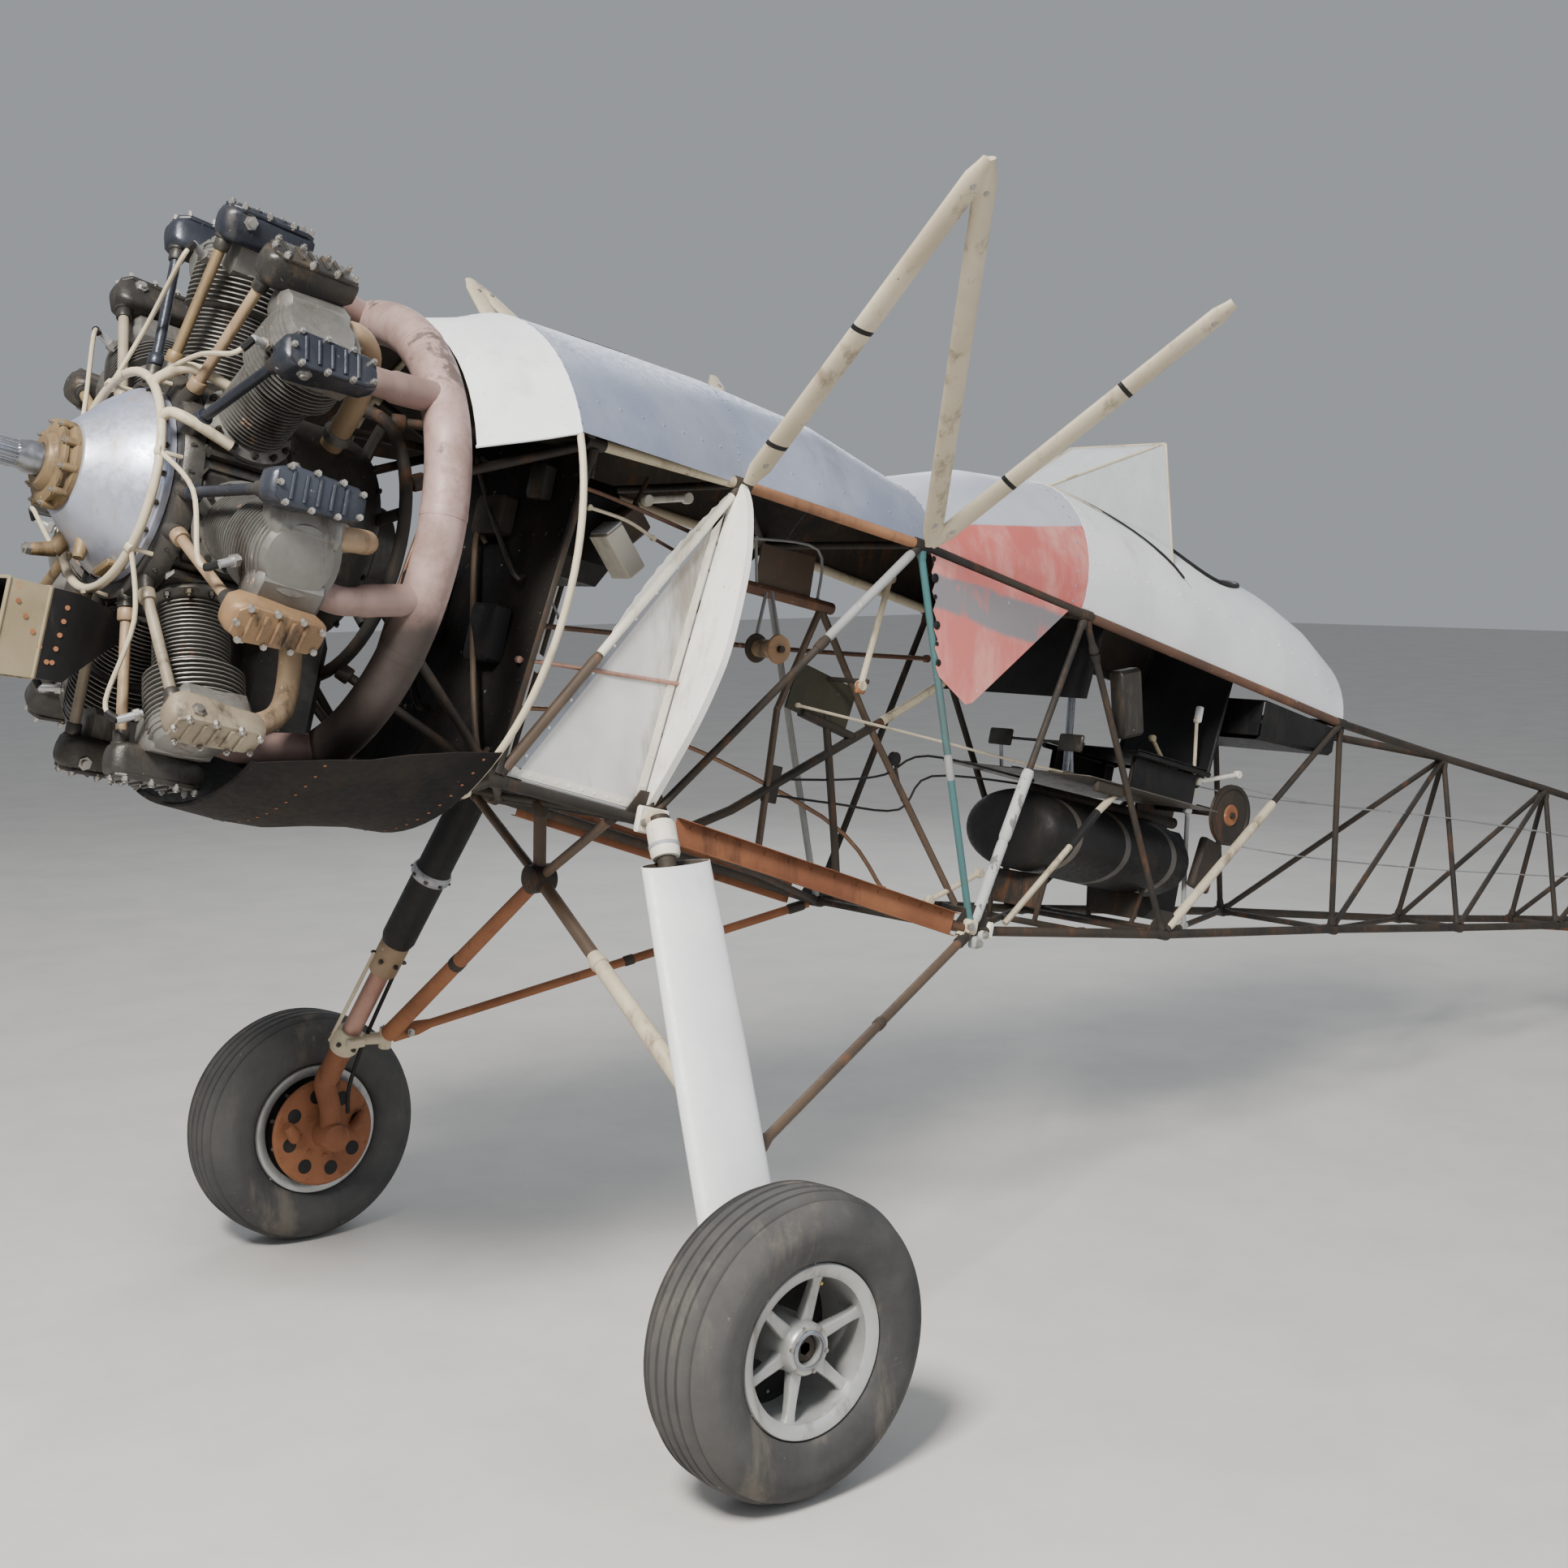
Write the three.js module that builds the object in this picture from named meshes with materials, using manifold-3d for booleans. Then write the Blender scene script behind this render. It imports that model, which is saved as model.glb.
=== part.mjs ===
import * as THREE from 'three';
import { mergeVertices } from 'three/addons/utils/BufferGeometryUtils.js';
import Module from 'manifold-3d';

const wasm = await Module();
wasm.setup();

// Driving dimensions, mm and degrees
const THRUST_HEIGHT = 1828;
const NOSE_UP = 14.61;
const SHIFT_X = 2170.55;
const TRACK = 2110;
const TYRE_RADIUS = 321.5;
const TYRE_WIDTH = 215;
const TUBE = 14;
const THIN_TUBE = 10;
const GAP = 0.5;
const SKIN = 1.6;
const CYLINDERS = 7;
const CYLINDER_STATION = -765;
const ROCKER_FRONT = -885;
const ROCKER_REAR = -680;
const ROCKER_RADIUS = 589;
const ROCKER_ANGLE = 12.4;
const EXHAUST_STATION = -453;
const EXHAUST_RADIUS = 494;
const EXHAUST_TUBE = 50;
const SHAFT_TIP = -1320;
const TAIL_WHEEL_X = 5500;
const TAIL_WHEEL_RADIUS = 125;
const CASTOR_X = 5440;
const SPLIT_STATION = 1760;
const HOOP_STATION = -187;
const HOOP_RADIUS = 596;
const HOOP_TUBE = 8;
const MOUNT_STATION = -430;
const MOUNT_RADIUS = 300;
const HARNESS_STATION = -945;
const HARNESS_RADIUS = 228;
const PANEL_STATION = 1786;
const LOWER_COWL_CENTRE = 180;
const SPOKES = 6;

const sine = Math.sin(THREE.MathUtils.degToRad(NOSE_UP));
const cosine = Math.cos(THREE.MathUtils.degToRad(NOSE_UP));

// Points: fus() is measured along the thrust line, ground() from under the wheels
const vec = (x, y, z) => new THREE.Vector3(x, y, z);
const fus = (x, y, z) => vec(x * cosine + z * sine - SHIFT_X, y, THRUST_HEIGHT - x * sine + z * cosine);
const ground = (x, y, z) => vec(x - SHIFT_X, y, z);
const around = (station, radius, angle) => fus(station, radius * Math.sin(angle), radius * Math.cos(angle));
const toFuselage = new THREE.Matrix4().makeRotationY(THREE.MathUtils.degToRad(NOSE_UP))
  .setPosition(-SHIFT_X, 0, THRUST_HEIGHT);

// Solid modelling helpers
function toSolid(geometry) {
  const copy = geometry.clone();
  copy.deleteAttribute('normal');
  copy.deleteAttribute('uv');
  const merged = mergeVertices(copy, 1e-3);
  return new wasm.Manifold(new wasm.Mesh({
    numProp: 3,
    vertProperties: new Float32Array(merged.attributes.position.array),
    triVerts: new Uint32Array(merged.index.array),
  }));
}

function fromTriangles(points, triangles) {
  let volume = 0;
  for (const [a, b, c] of triangles) {
    volume += points[a].dot(points[b].clone().cross(points[c]));
  }
  const index = triangles.flatMap(([a, b, c]) => (volume < 0 ? [a, c, b] : [a, b, c]));
  const geometry = new THREE.BufferGeometry();
  geometry.setAttribute('position', new THREE.Float32BufferAttribute(points.flatMap((p) => p.toArray()), 3));
  geometry.setIndex(index);
  return toSolid(geometry);
}

function aligned(geometry, from, to, chordwise) {
  const along = to.clone().sub(from).normalize();
  const side = (chordwise || (Math.abs(along.x) < 0.9 ? vec(1, 0, 0) : vec(0, 0, 1))).clone();
  side.addScaledVector(along, -side.dot(along)).normalize();
  const third = side.clone().cross(along).normalize();
  const matrix = new THREE.Matrix4().makeBasis(side, along, third);
  matrix.setPosition(from.clone().add(to).multiplyScalar(0.5));
  return geometry.applyMatrix4(matrix);
}

// Straight bars: round rod, streamlined bar and cone between two points
function rod(from, to, radius, sides = 6, endRadius = radius) {
  const length = from.distanceTo(to);
  const geometry = new THREE.CylinderGeometry(endRadius, radius, length, sides);
  return toSolid(aligned(geometry, from, to));
}

function blade(from, to, chord, thick, sides = 10) {
  const geometry = new THREE.CylinderGeometry(1, 1, from.distanceTo(to), sides);
  geometry.scale(chord / 2, 1, thick / 2);
  return toSolid(aligned(geometry, from, to, vec(cosine, 0, -sine)));
}

function block(center, size, frame = toFuselage) {
  const geometry = new THREE.BoxGeometry(size[0], size[1], size[2]);
  geometry.translate(center[0], center[1], center[2]);
  return toSolid(geometry.applyMatrix4(frame));
}

function turned(profile, segments, matrix) {
  const points = profile.map(([radius, along]) => new THREE.Vector2(radius, along));
  return toSolid(new THREE.LatheGeometry(points, segments).applyMatrix4(matrix));
}

const union = (...solids) => wasm.Manifold.union(solids.flat());
const onThrustLine = toFuselage.clone().multiply(new THREE.Matrix4().makeRotationZ(Math.PI / 2));

function largest(solid) {
  const parts = solid.decompose();
  return parts.reduce((best, part) => (part.volume() > best.volume() ? part : best));
}

function thinSheet(rows, thickness) {
  const count = rows[0].length;
  const points = [];
  const inner = [];
  rows.forEach((row, i) => row.forEach((p, j) => {
    const across = row[Math.min(j + 1, count - 1)].clone().sub(row[Math.max(j - 1, 0)]);
    const along = rows[Math.min(i + 1, rows.length - 1)][j].clone().sub(rows[Math.max(i - 1, 0)][j]);
    points.push(p);
    inner.push(p.clone().addScaledVector(across.cross(along).normalize(), thickness));
  }));
  const total = points.length;
  const all = points.concat(inner);
  const at = (i, j) => i * count + j;
  const triangles = [];
  const quad = (a, b, c, d) => triangles.push([a, b, c], [a, c, d]);
  for (let i = 0; i < rows.length - 1; i += 1) {
    for (let j = 0; j < count - 1; j += 1) {
      quad(at(i, j), at(i, j + 1), at(i + 1, j + 1), at(i + 1, j));
      quad(total + at(i, j), total + at(i + 1, j), total + at(i + 1, j + 1), total + at(i, j + 1));
    }
    quad(at(i, 0), at(i + 1, 0), total + at(i + 1, 0), total + at(i, 0));
    quad(at(i + 1, count - 1), at(i, count - 1), total + at(i, count - 1), total + at(i + 1, count - 1));
  }
  const last = rows.length - 1;
  for (let j = 0; j < count - 1; j += 1) {
    quad(at(0, j + 1), at(0, j), total + at(0, j), total + at(0, j + 1));
    quad(at(last, j), at(last, j + 1), total + at(last, j + 1), total + at(last, j));
  }
  return fromTriangles(all, triangles);
}

function ringLoft(rings) {
  const count = rings[0].length;
  const points = rings.flat();
  const triangles = [];
  for (let i = 0; i < rings.length - 1; i += 1) {
    for (let j = 0; j < count; j += 1) {
      const k = (j + 1) % count;
      triangles.push([i * count + j, i * count + k, (i + 1) * count + k]);
      triangles.push([i * count + j, (i + 1) * count + k, (i + 1) * count + j]);
    }
  }
  const end = (rings.length - 1) * count;
  for (let j = 1; j < count - 1; j += 1) {
    triangles.push([0, j + 1, j], [end, end + j, end + j + 1]);
  }
  return fromTriangles(points, triangles);
}

function arch(station, halfWidth, base, crown, steps = 12) {
  const rise = crown - base;
  const radius = (halfWidth * halfWidth + rise * rise) / (2 * rise);
  const centre = crown - radius;
  const half = Math.atan2(halfWidth, base - centre);
  return Array.from({ length: steps + 1 }, (_, j) => {
    const angle = -half + (2 * half * j) / steps;
    return fus(station, radius * Math.sin(angle), centre + radius * Math.cos(angle));
  });
}

// Paint and metal groups
const paint = (color, roughness = 0.6, metalness = 0) => (
  new THREE.MeshStandardMaterial({ color, roughness, metalness }));
const finishes = {
  frame: paint('#3a342c', 0.8),
  rust: paint('#8a4a2a', 0.9),
  white: paint('#e8e8e6', 0.5),
  silver: paint('#a9b0bd', 0.45, 0.6),
  red: paint('#c0605a', 0.7),
  cream: paint('#d8cdb4', 0.6),
  dark: paint('#22211f', 0.7, 0.3),
  steel: paint('#77797c', 0.4, 0.9),
  tyre: paint('#26262a', 0.9),
  glass: paint('#d5dcdc', 0.1),
  grey: paint('#7d7f82', 0.6, 0.3),
  exhaust: paint('#a0807c', 0.7, 0.5),
  olive: paint('#7c6c4a', 0.8),
};

const model = new THREE.Group();
function add(name, finish, solid) {
  const mesh = solid.getMesh();
  const geometry = new THREE.BufferGeometry();
  geometry.setAttribute('position', new THREE.BufferAttribute(new Float32Array(mesh.vertProperties), 3));
  geometry.setIndex(new THREE.BufferAttribute(new Uint32Array(mesh.triVerts), 1));
  geometry.computeVertexNormals();
  const piece = new THREE.Mesh(geometry, finishes[finish]);
  piece.name = name;
  model.add(piece);
}

// Frame nodes: station along the thrust line, half width, height from the thrust line
const upper = [
  { station: -13, half: 315, height: 338 },
  { station: 414, half: 315, height: 363 },
  { station: 1020, half: 315, height: 374 },
  { station: 1691, half: 310, height: 348 },
  { station: 3050, half: 250, height: 312 },
  { station: 4080, half: 0, height: 375 },
  { station: 4820, half: 0, height: 392 },
  { station: 5600, half: 0, height: 400 },
];
const lower = [
  { station: -96, half: 315, height: -445 },
  { station: 329, half: 315, height: -465 },
  { station: 1468, half: 315, height: -570 },
  { station: 2300, half: 290, height: -473 },
  { station: 3240, half: 225, height: -341 },
  { station: 4160, half: 125, height: -226 },
  { station: 4900, half: 95, height: -122 },
  { station: 5600, half: 18, height: -20 },
];
const top = (i, side) => fus(upper[i].station, side * upper[i].half, upper[i].height);
const low = (i, side) => fus(lower[i].station, side * lower[i].half, lower[i].height);

// Side braces: upper node to lower node
const braces = [
  [0, 0], [1, 0], [1, 1], [2, 1], [2, 2], [3, 2], [3, 3],
  [4, 3], [4, 4], [5, 4], [5, 5], [6, 5], [6, 6], [7, 6],
];
const crossTop = [0, 1, 2, 3, 4];
const crossLow = [0, 1, 2, 3, 4, 5, 6];
const diagonalTop = [[0, 1], [1, 2], [2, 3]];
const diagonalLow = [[0, 1], [1, 2], [2, 3], [3, 4], [4, 5]];
const gearCross = 244;
const tankCross = [1960, 2400];

// Point on a lower longeron at a station: side -1 or 1 is the longeron itself, 0 the middle between them
function lowAt(station, side) {
  const i = lower.findIndex((node) => node.station > station) - 1;
  const share = (station - lower[i].station) / (lower[i + 1].station - lower[i].station);
  return low(i, side).lerp(low(i + 1, side), share);
}

function sideFrame(side, extra) {
  const bars = braces.map(([a, b]) => rod(top(a, side), low(b, side), THIN_TUBE + extra));
  for (let i = 0; i < 5; i += 1) bars.push(rod(top(i, side), top(i + 1, side), TUBE + extra));
  for (let i = 0; i < 7; i += 1) bars.push(rod(low(i, side), low(i + 1, side), TUBE + extra));
  return union(bars);
}

const upperCross = (extra) => union(
  crossTop.map((i) => rod(top(i, -1), top(i, 1), THIN_TUBE + extra)),
  diagonalTop.map(([a, b]) => rod(top(a, -1), top(b, 1), THIN_TUBE + extra)),
);
const lowerCross = (extra) => union(
  crossLow.map((i) => rod(low(i, -1), low(i, 1), THIN_TUBE + extra)),
  diagonalLow.map(([a, b]) => rod(low(a, -1), low(b, 1), THIN_TUBE + extra)),
  [gearCross, ...tankCross].map((x) => rod(lowAt(x, -1), lowAt(x, 1), THIN_TUBE + extra)),
);
const tailFrame = (extra) => union(
  rod(top(5, 1), top(6, 1), TUBE + extra),
  rod(top(6, 1), top(7, 1), TUBE + extra),
  rod(fus(5600, 0, 430), fus(5600, 0, -60), TUBE + 4 + extra, 8),
);
const sidesRoom = union(sideFrame(-1, GAP), sideFrame(1, GAP));
const trussRoom = union(sidesRoom, upperCross(GAP), lowerCross(GAP), tailFrame(GAP));
const clearOfTruss = (solid) => largest(solid.subtract(trussRoom));

// Frame ahead of the cockpit in four parts, and the rear frame in one
const foreHalf = block([SPLIT_STATION - 3000, 0, 0], [6000, 3000, 3000]);
const aftHalf = block([SPLIT_STATION + GAP + 3000, 0, 0], [6000, 3000, 3000]);
add('front_frame_left', 'frame', sideFrame(-1, 0).intersect(foreHalf));
add('front_frame_right', 'frame', sideFrame(1, 0).intersect(foreHalf));
add('front_top_tubes', 'frame', largest(upperCross(0).intersect(foreHalf).subtract(sidesRoom)));
add('front_belly_tubes', 'frame', largest(lowerCross(0).intersect(foreHalf).subtract(sidesRoom)));
const wholeFrame = union(sideFrame(-1, 0), sideFrame(1, 0), upperCross(0), lowerCross(0), tailFrame(0));
add('rear_truss', 'frame', wholeFrame.intersect(aftHalf));

// Open front hoop on four stubs from the frame's front corners
const hoop = (station, radius, tube, segments = 36, sides = 6) => {
  const geometry = new THREE.TorusGeometry(radius, tube, sides, segments);
  geometry.rotateY(Math.PI / 2);
  geometry.translate(station, 0, 0);
  return toSolid(geometry.applyMatrix4(toFuselage));
};
const hoopSolid = (extra) => union(
  hoop(HOOP_STATION, HOOP_RADIUS, HOOP_TUBE + extra),
  [-1, 1].flatMap((side) => [
    rod(top(0, side), fus(HOOP_STATION, side * 402, 431), 9 + extra),
    rod(low(0, side), fus(HOOP_STATION, side * 345, -486), 9 + extra),
  ]),
);
const hoopRoom = hoopSolid(GAP);
add('front_hoop', 'cream', clearOfTruss(hoopSolid(0)));

// Engine mount: ring with eight legs back to the frame's front corners
const mountSolid = (extra) => union(
  hoop(MOUNT_STATION, MOUNT_RADIUS, 14 + extra, 20, 6),
  [-1, 1].flatMap((side) => [[25, top], [65, top], [115, low], [155, low]].map(([degrees, corner]) => {
    const foot = around(MOUNT_STATION, MOUNT_RADIUS, side * THREE.MathUtils.degToRad(degrees));
    return rod(foot, corner(0, side), THIN_TUBE + 1 + extra);
  })),
);
const mountRoom = mountSolid(GAP);
add('engine_mount', 'frame', clearOfTruss(mountSolid(0).subtract(hoopRoom)));

// Firewall plate against the front of the frame
const firewallFace = (offset) => [[-96, -452, -1], [-96, -452, 1], [-13, 352, 1], [-13, 352, -1]]
  .map(([station, height, side]) => fus(station - offset, side * 322, height));
add('firewall', 'dark', clearOfTruss(ringLoft([firewallFace(12.6), firewallFace(10.6)])
  .subtract(mountRoom).subtract(hoopRoom)));

// Crankcase with rear cover, sump and mounting lugs
const cylinderNumbers = Array.from({ length: CYLINDERS }, (_, k) => k);
const betweenCylinders = (k) => ((k + 0.5) / CYLINDERS) * 2 * Math.PI;
const crankcaseSolid = (extra) => union(
  turned([[0, 330 - extra], [110 + extra, 330 - extra], [120 + extra, 420], [215 + extra, 440],
    [232 + extra, 520], [245 + extra, 640], [250 + extra, 660], [250 + extra, 880 + extra],
    [240 + extra, 899.5 + extra], [0, 899.5 + extra]], 22, onThrustLine),
  block([-520, 0, -330], [190 + extra, 190 + extra, 330 + extra]),
  ...cylinderNumbers.map((k) => {
    const t = betweenCylinders(k);
    return rod(around(-446, 120, t), around(-434, MOUNT_RADIUS, t), 12 + extra, 5);
  }),
);
const crankcaseRoom = crankcaseSolid(GAP);
add('crankcase', 'grey', largest(crankcaseSolid(0).subtract(mountRoom)));

// Nose case, thrust plate and harness ring
add('nose_case', 'silver', turned([[0, 900], [205, 900], [200, 925], [184, 945], [165, 975], [130, 1008],
  [100, 1040], [92, 1042], [92, 1078], [58, 1080], [58, 1095], [34.8, 1095], [34.8, 905], [0, 905]], 28,
onThrustLine));
const harness = union(hoop(HARNESS_STATION, HARNESS_RADIUS, 8, 26, 5), ...cylinderNumbers.map((k) => {
  const t = betweenCylinders(k);
  return rod(around(HARNESS_STATION, HARNESS_RADIUS, t), around(-900, HARNESS_RADIUS, t), 5, 5);
}));
add('harness_ring', 'cream', harness);

// Propeller shaft, free to turn in the nose case
add('propeller_shaft', 'steel', turned([[0, 925], [34, 925], [34, 1125], [30, 1130], [30, 1250], [26, 1255],
  [26, -SHAFT_TIP], [0, -SHAFT_TIP]], 20, onThrustLine));

// Exhaust collector, open at the bottom
const exhaustSolid = (extra) => hoop(EXHAUST_STATION, EXHAUST_RADIUS, EXHAUST_TUBE + extra, 26, 8)
  .subtract(block([EXHAUST_STATION, 0, -520], [200, 200, 300]));
const exhaustRoom = exhaustSolid(GAP);
add('exhaust_ring', 'exhaust', exhaustSolid(0));

// Cylinders with paired rocker boxes and pushrod tubes
const barrelProfile = [[0, 240], [78, 240], [78, 410], [98, 425], [102, 520], [70, 560], [0, 560]];
for (const k of cylinderNumbers) {
  const turn = new THREE.Matrix4().makeRotationX((k / CYLINDERS) * 2 * Math.PI);
  const frame = toFuselage.clone().multiply(turn);
  const upright = frame.clone().multiply(new THREE.Matrix4().makeTranslation(CYLINDER_STATION, 0, 0))
    .multiply(new THREE.Matrix4().makeRotationX(Math.PI / 2));
  const solids = [turned(barrelProfile, 10, upright)];
  for (const side of [-1, 1]) {
    const offset = ROCKER_RADIUS * Math.sin(THREE.MathUtils.degToRad(ROCKER_ANGLE)) * side;
    const height = ROCKER_RADIUS * Math.cos(THREE.MathUtils.degToRad(ROCKER_ANGLE));
    const local = (x, y, z) => vec(x, y, z).applyMatrix4(frame);
    const ring = (x, grow, drop) => Array.from({ length: 6 }, (_, j) => {
      const t = ((j + 0.5) / 6) * 2 * Math.PI;
      return local(x, offset + grow * 40 * Math.cos(t), height - drop + grow * 34 * Math.sin(t));
    });
    const pushrodFoot = local(-880, offset * 0.32, 262);
    const pushrodHead = local(ROCKER_FRONT + 22, offset * 0.95, height - 20);
    solids.push(ringLoft([
      ring(ROCKER_FRONT, 0.7, 10), ring(ROCKER_FRONT + 20, 1, 3), ring(ROCKER_REAR, 0.9, 0)]));
    solids.push(block([CYLINDER_STATION + 10, offset * 0.6, height - 45], [150, 95, 90], frame));
    solids.push(rod(pushrodFoot, pushrodHead, 13, 6));
    const elbow = side < 0 ? local(-560, offset * 0.5, 480) : local(-600, offset * 0.6, 400);
    const end = side < 0 ? local(-460, offset * 0.2, EXHAUST_RADIUS) : local(-560, offset * 0.5, 225);
    solids.push(rod(local(-720, offset * 0.6, 480), elbow, 30, 6), rod(elbow, end, 27, 6));
  }
  add(`cylinder_${k + 1}`, 'grey', largest(union(solids).subtract(crankcaseRoom).subtract(exhaustRoom)));
}

// Air scoop under the nose
const scoopRing = (station, halfWidth, base, height) => [
  fus(station, -halfWidth, base), fus(station, halfWidth, base),
  fus(station, halfWidth, height), fus(station, -halfWidth, height)];
add('air_scoop', 'olive', ringLoft([
  scoopRing(-1150, 130, -440, -250), scoopRing(-1000, 120, -430, -250), scoopRing(-905, 62, -350, -262),
  scoopRing(-868, 46, -320, -240)]).subtract(crankcaseRoom));

// Front panel and deck on the hoop, lower cowl, mid cowl and cockpit cowl
const arc = (station, radius, half, middle = 0, steps = 12) => Array.from({ length: steps + 1 }, (_, j) => (
  around(station, radius, THREE.MathUtils.degToRad(middle - half + (2 * half * j) / steps))
));
const SEAT_RADIUS = HOOP_RADIUS + HOOP_TUBE + 2.2;
add('front_panel', 'white', thinSheet([
  arc(-400, 520, 66), arc(-350, 540, 64.5), arc(-300, 557, 63), arc(-250, 575, 61.5),
  arc(HOOP_STATION - 1, SEAT_RADIUS, 60)], SKIN));
add('front_deck', 'silver', clearOfTruss(thinSheet([
  arc(HOOP_STATION + 0.5, SEAT_RADIUS, 60), arch(110, 428, 332, 626), arch(400, 318, 362, 640),
  arch(750, 318, 368, 632), arch(1085, 318, 372, 575)], SKIN)));
// Lower cowl: station, radius and half angle
const lowerCowlRows = [
  [-690, 634, 36], [-560, 644, 42], [-480, 643, 44], [-390, 625, 46], [-280, 609, 48],
  [HOOP_STATION, SEAT_RADIUS, 50],
];
add('lower_cowl', 'dark', thinSheet(
  lowerCowlRows.map(([station, radius, half]) => arc(station, radius, half, LOWER_COWL_CENTRE, 10)),
  SKIN,
));
add('mid_cowl', 'silver', clearOfTruss(thinSheet([
  arch(1085.6, 318, 372, 577), arch(1360, 316, 361, 680), arch(1667, 313, 349, 732)], SKIN)));
const cockpitSkin = thinSheet([
  arch(1667.6, 313, 349, 734), arch(2100, 294, 337, 715), arch(2500, 276, 327, 682),
  arch(2700, 267, 322, 663), arch(2900, 258, 317, 620), arch(3060, 252, 312, 557)], SKIN);
const cockpitHole = ringLoft([0, 1].map((level) => Array.from({ length: 16 }, (_, j) => {
  const t = (j / 16) * 2 * Math.PI;
  return fus(2330 + 290 * Math.cos(t), 205 * Math.sin(t), 560 + level * 400);
})));
add('cockpit_cowl', 'white', clearOfTruss(cockpitSkin.subtract(cockpitHole)));

// Windscreen of three flat panes
const screenOuter = [
  [fus(2110, -250, 540), fus(1680, -70, 715), fus(1680, 70, 715), fus(2110, 250, 540)],
  [fus(2034, -188, 943), fus(2030, -180, 943), fus(2030, 180, 943), fus(2034, 188, 943)],
];
const cowlVolume = ringLoft([
  arch(1600, 316.5, 351, 738), arch(1667.6, 313.5, 349, 734.5), arch(2100, 294.5, 337, 715.5),
  arch(2500, 276.5, 327, 682.5)]);
add('windscreen', 'glass', largest(thinSheet(screenOuter, 3).subtract(cowlVolume)));

// Side ribs and side panels of the front bay, and the lower wing's root channels
const rootSlope = Math.atan2(105, 1139);
const rootFrame = toFuselage.clone()
  .multiply(new THREE.Matrix4().makeTranslation(900, 0, -517))
  .multiply(new THREE.Matrix4().makeRotationY(rootSlope))
  .multiply(new THREE.Matrix4().makeTranslation(-900, 0, 517));
const ribEdge = [
  [305, 345], [330, 360], [375, 301], [419, 185], [436, 70], [441, -51], [426, -140], [400, -230],
  [361, -328], [320, -425], [305, -440],
];
const ribLean = 85 / 828;
const ribFace = (ahead, side) => ribEdge.map(([half, height]) => (
  fus(upper[1].station - ribLean * (upper[1].height - height) - ahead, side * half, height)));
const ribRear = THIN_TUBE + 0.6;
const panelCorners = [[396, 340], [-70, -428], [316, -446]];
for (const side of [-1, 1]) {
  const name = side < 0 ? 'left' : 'right';
  const rib = ringLoft([ribFace(ribRear + SKIN, side), ribFace(ribRear, side)]);
  add(`side_rib_${name}`, 'white', clearOfTruss(rib));
  add(`side_panel_${name}`, 'white', clearOfTruss(ringLoft([302.4, 304.2].map((half) => (
    panelCorners.map(([station, height]) => fus(station, side * half, height)))))));
  add(`root_channel_${name}`, 'rust', clearOfTruss(union(
    block([890, side * 331, -517], [980, 2.4, 62], rootFrame),
    block([890, side * 341, -487], [980, 22, 2.4], rootFrame),
    block([890, side * 341, -547], [980, 22, 2.4], rootFrame),
  )));
}
add('side_plate_left', 'red', clearOfTruss(thinSheet([
  [fus(1050, -327, 360), fus(1300, -327, 352), fus(1600, -327, 340)],
  [fus(1150, -327, 60), fus(1274, -327, 10), fus(1300, -327, 20)]], SKIN)));

// Cockpit floor with stick, seat and belly tank
add('cockpit_floor', 'frame', clearOfTruss(union(
  block([2150, 0, -78], [600, 604, 3]),
  rod(fus(2080, 0, -78), fus(2020, 0, 330), 12, 8),
)));
add('seat', 'dark', clearOfTruss(union(
  block([2340, 0, 40], [360, 380, 20]),
  block([2200, -150, -20], [20, 20, 112]),
  block([2200, 150, -20], [20, 20, 112]),
  block([2420, -150, -20], [20, 20, 112]),
  block([2420, 150, -20], [20, 20, 112]),
  ringLoft([
    [fus(2500, -190, 30), fus(2520, -190, 30), fus(2520, 190, 30), fus(2500, 190, 30)],
    [fus(2580, -170, 470), fus(2600, -170, 470), fus(2600, 170, 470), fus(2580, 170, 470)]]),
)));

// Instrument panel across the cowl, and the shelf behind the seat
const panelEdge = (station) => [
  ...arch(station, 304, 345, 725, 12),
  fus(station, 300, 290), fus(station, 286, 130), fus(station, -286, 130), fus(station, -300, 290),
];
const panelPlate = ringLoft([panelEdge(PANEL_STATION), panelEdge(PANEL_STATION + 2)]);
add('instrument_panel', 'dark', clearOfTruss(panelPlate));
const shelfRing = (station, half, floorHeight, rim, inset) => [
  fus(station, -half + inset, floorHeight + inset), fus(station, half - inset, floorHeight + inset),
  fus(station, half - inset, rim), fus(station, -half + inset, rim),
];
const shelfOuter = ringLoft([shelfRing(2620, 268, 176, 300, 0), shelfRing(3035, 249, 203, 290, 0)]);
const shelfInner = ringLoft([
  shelfRing(2620 + SKIN, 268, 176, 310, SKIN), shelfRing(3035 - SKIN, 249, 203, 300, SKIN)]);
add('rear_shelf', 'dark', clearOfTruss(shelfOuter.subtract(shelfInner)));

// Belly tank on its V stays
const tankRing = (station, grow) => Array.from({ length: 14 }, (_, j) => {
  const t = ((j + 0.5) / 14) * 2 * Math.PI;
  return fus(station, 190 * grow * Math.cos(t), -250 + 120 * grow * Math.sin(t));
});
add('belly_tank', 'dark', clearOfTruss(union(
  ringLoft([tankRing(1860, 0.75), tankRing(1900, 1), tankRing(2490, 1), tankRing(2530, 0.75)]),
  tankCross.flatMap((station) => [-1, 1].map((side) => (
    rod(lowAt(station, side * 0.3), fus(station, side * 110, -330), 8)))),
)));

// Landing gear: centre pyramid, legs, struts and axles
const HUB_BARREL = 36;
const LEG_CORE = 22;
const PISTON = 26;
const hub = ground(114, 0, 1133);
const strutFitting = (side) => ground(112, side * 770, 600);
const legTop = (side) => ground(181, side * 397, 1310);
const legFoot = (side) => ground(-6, side * 884, 485);
const legAt = (height, side) => legTop(side).lerp(legFoot(side), (1310 - height) / (1310 - 485));

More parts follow.
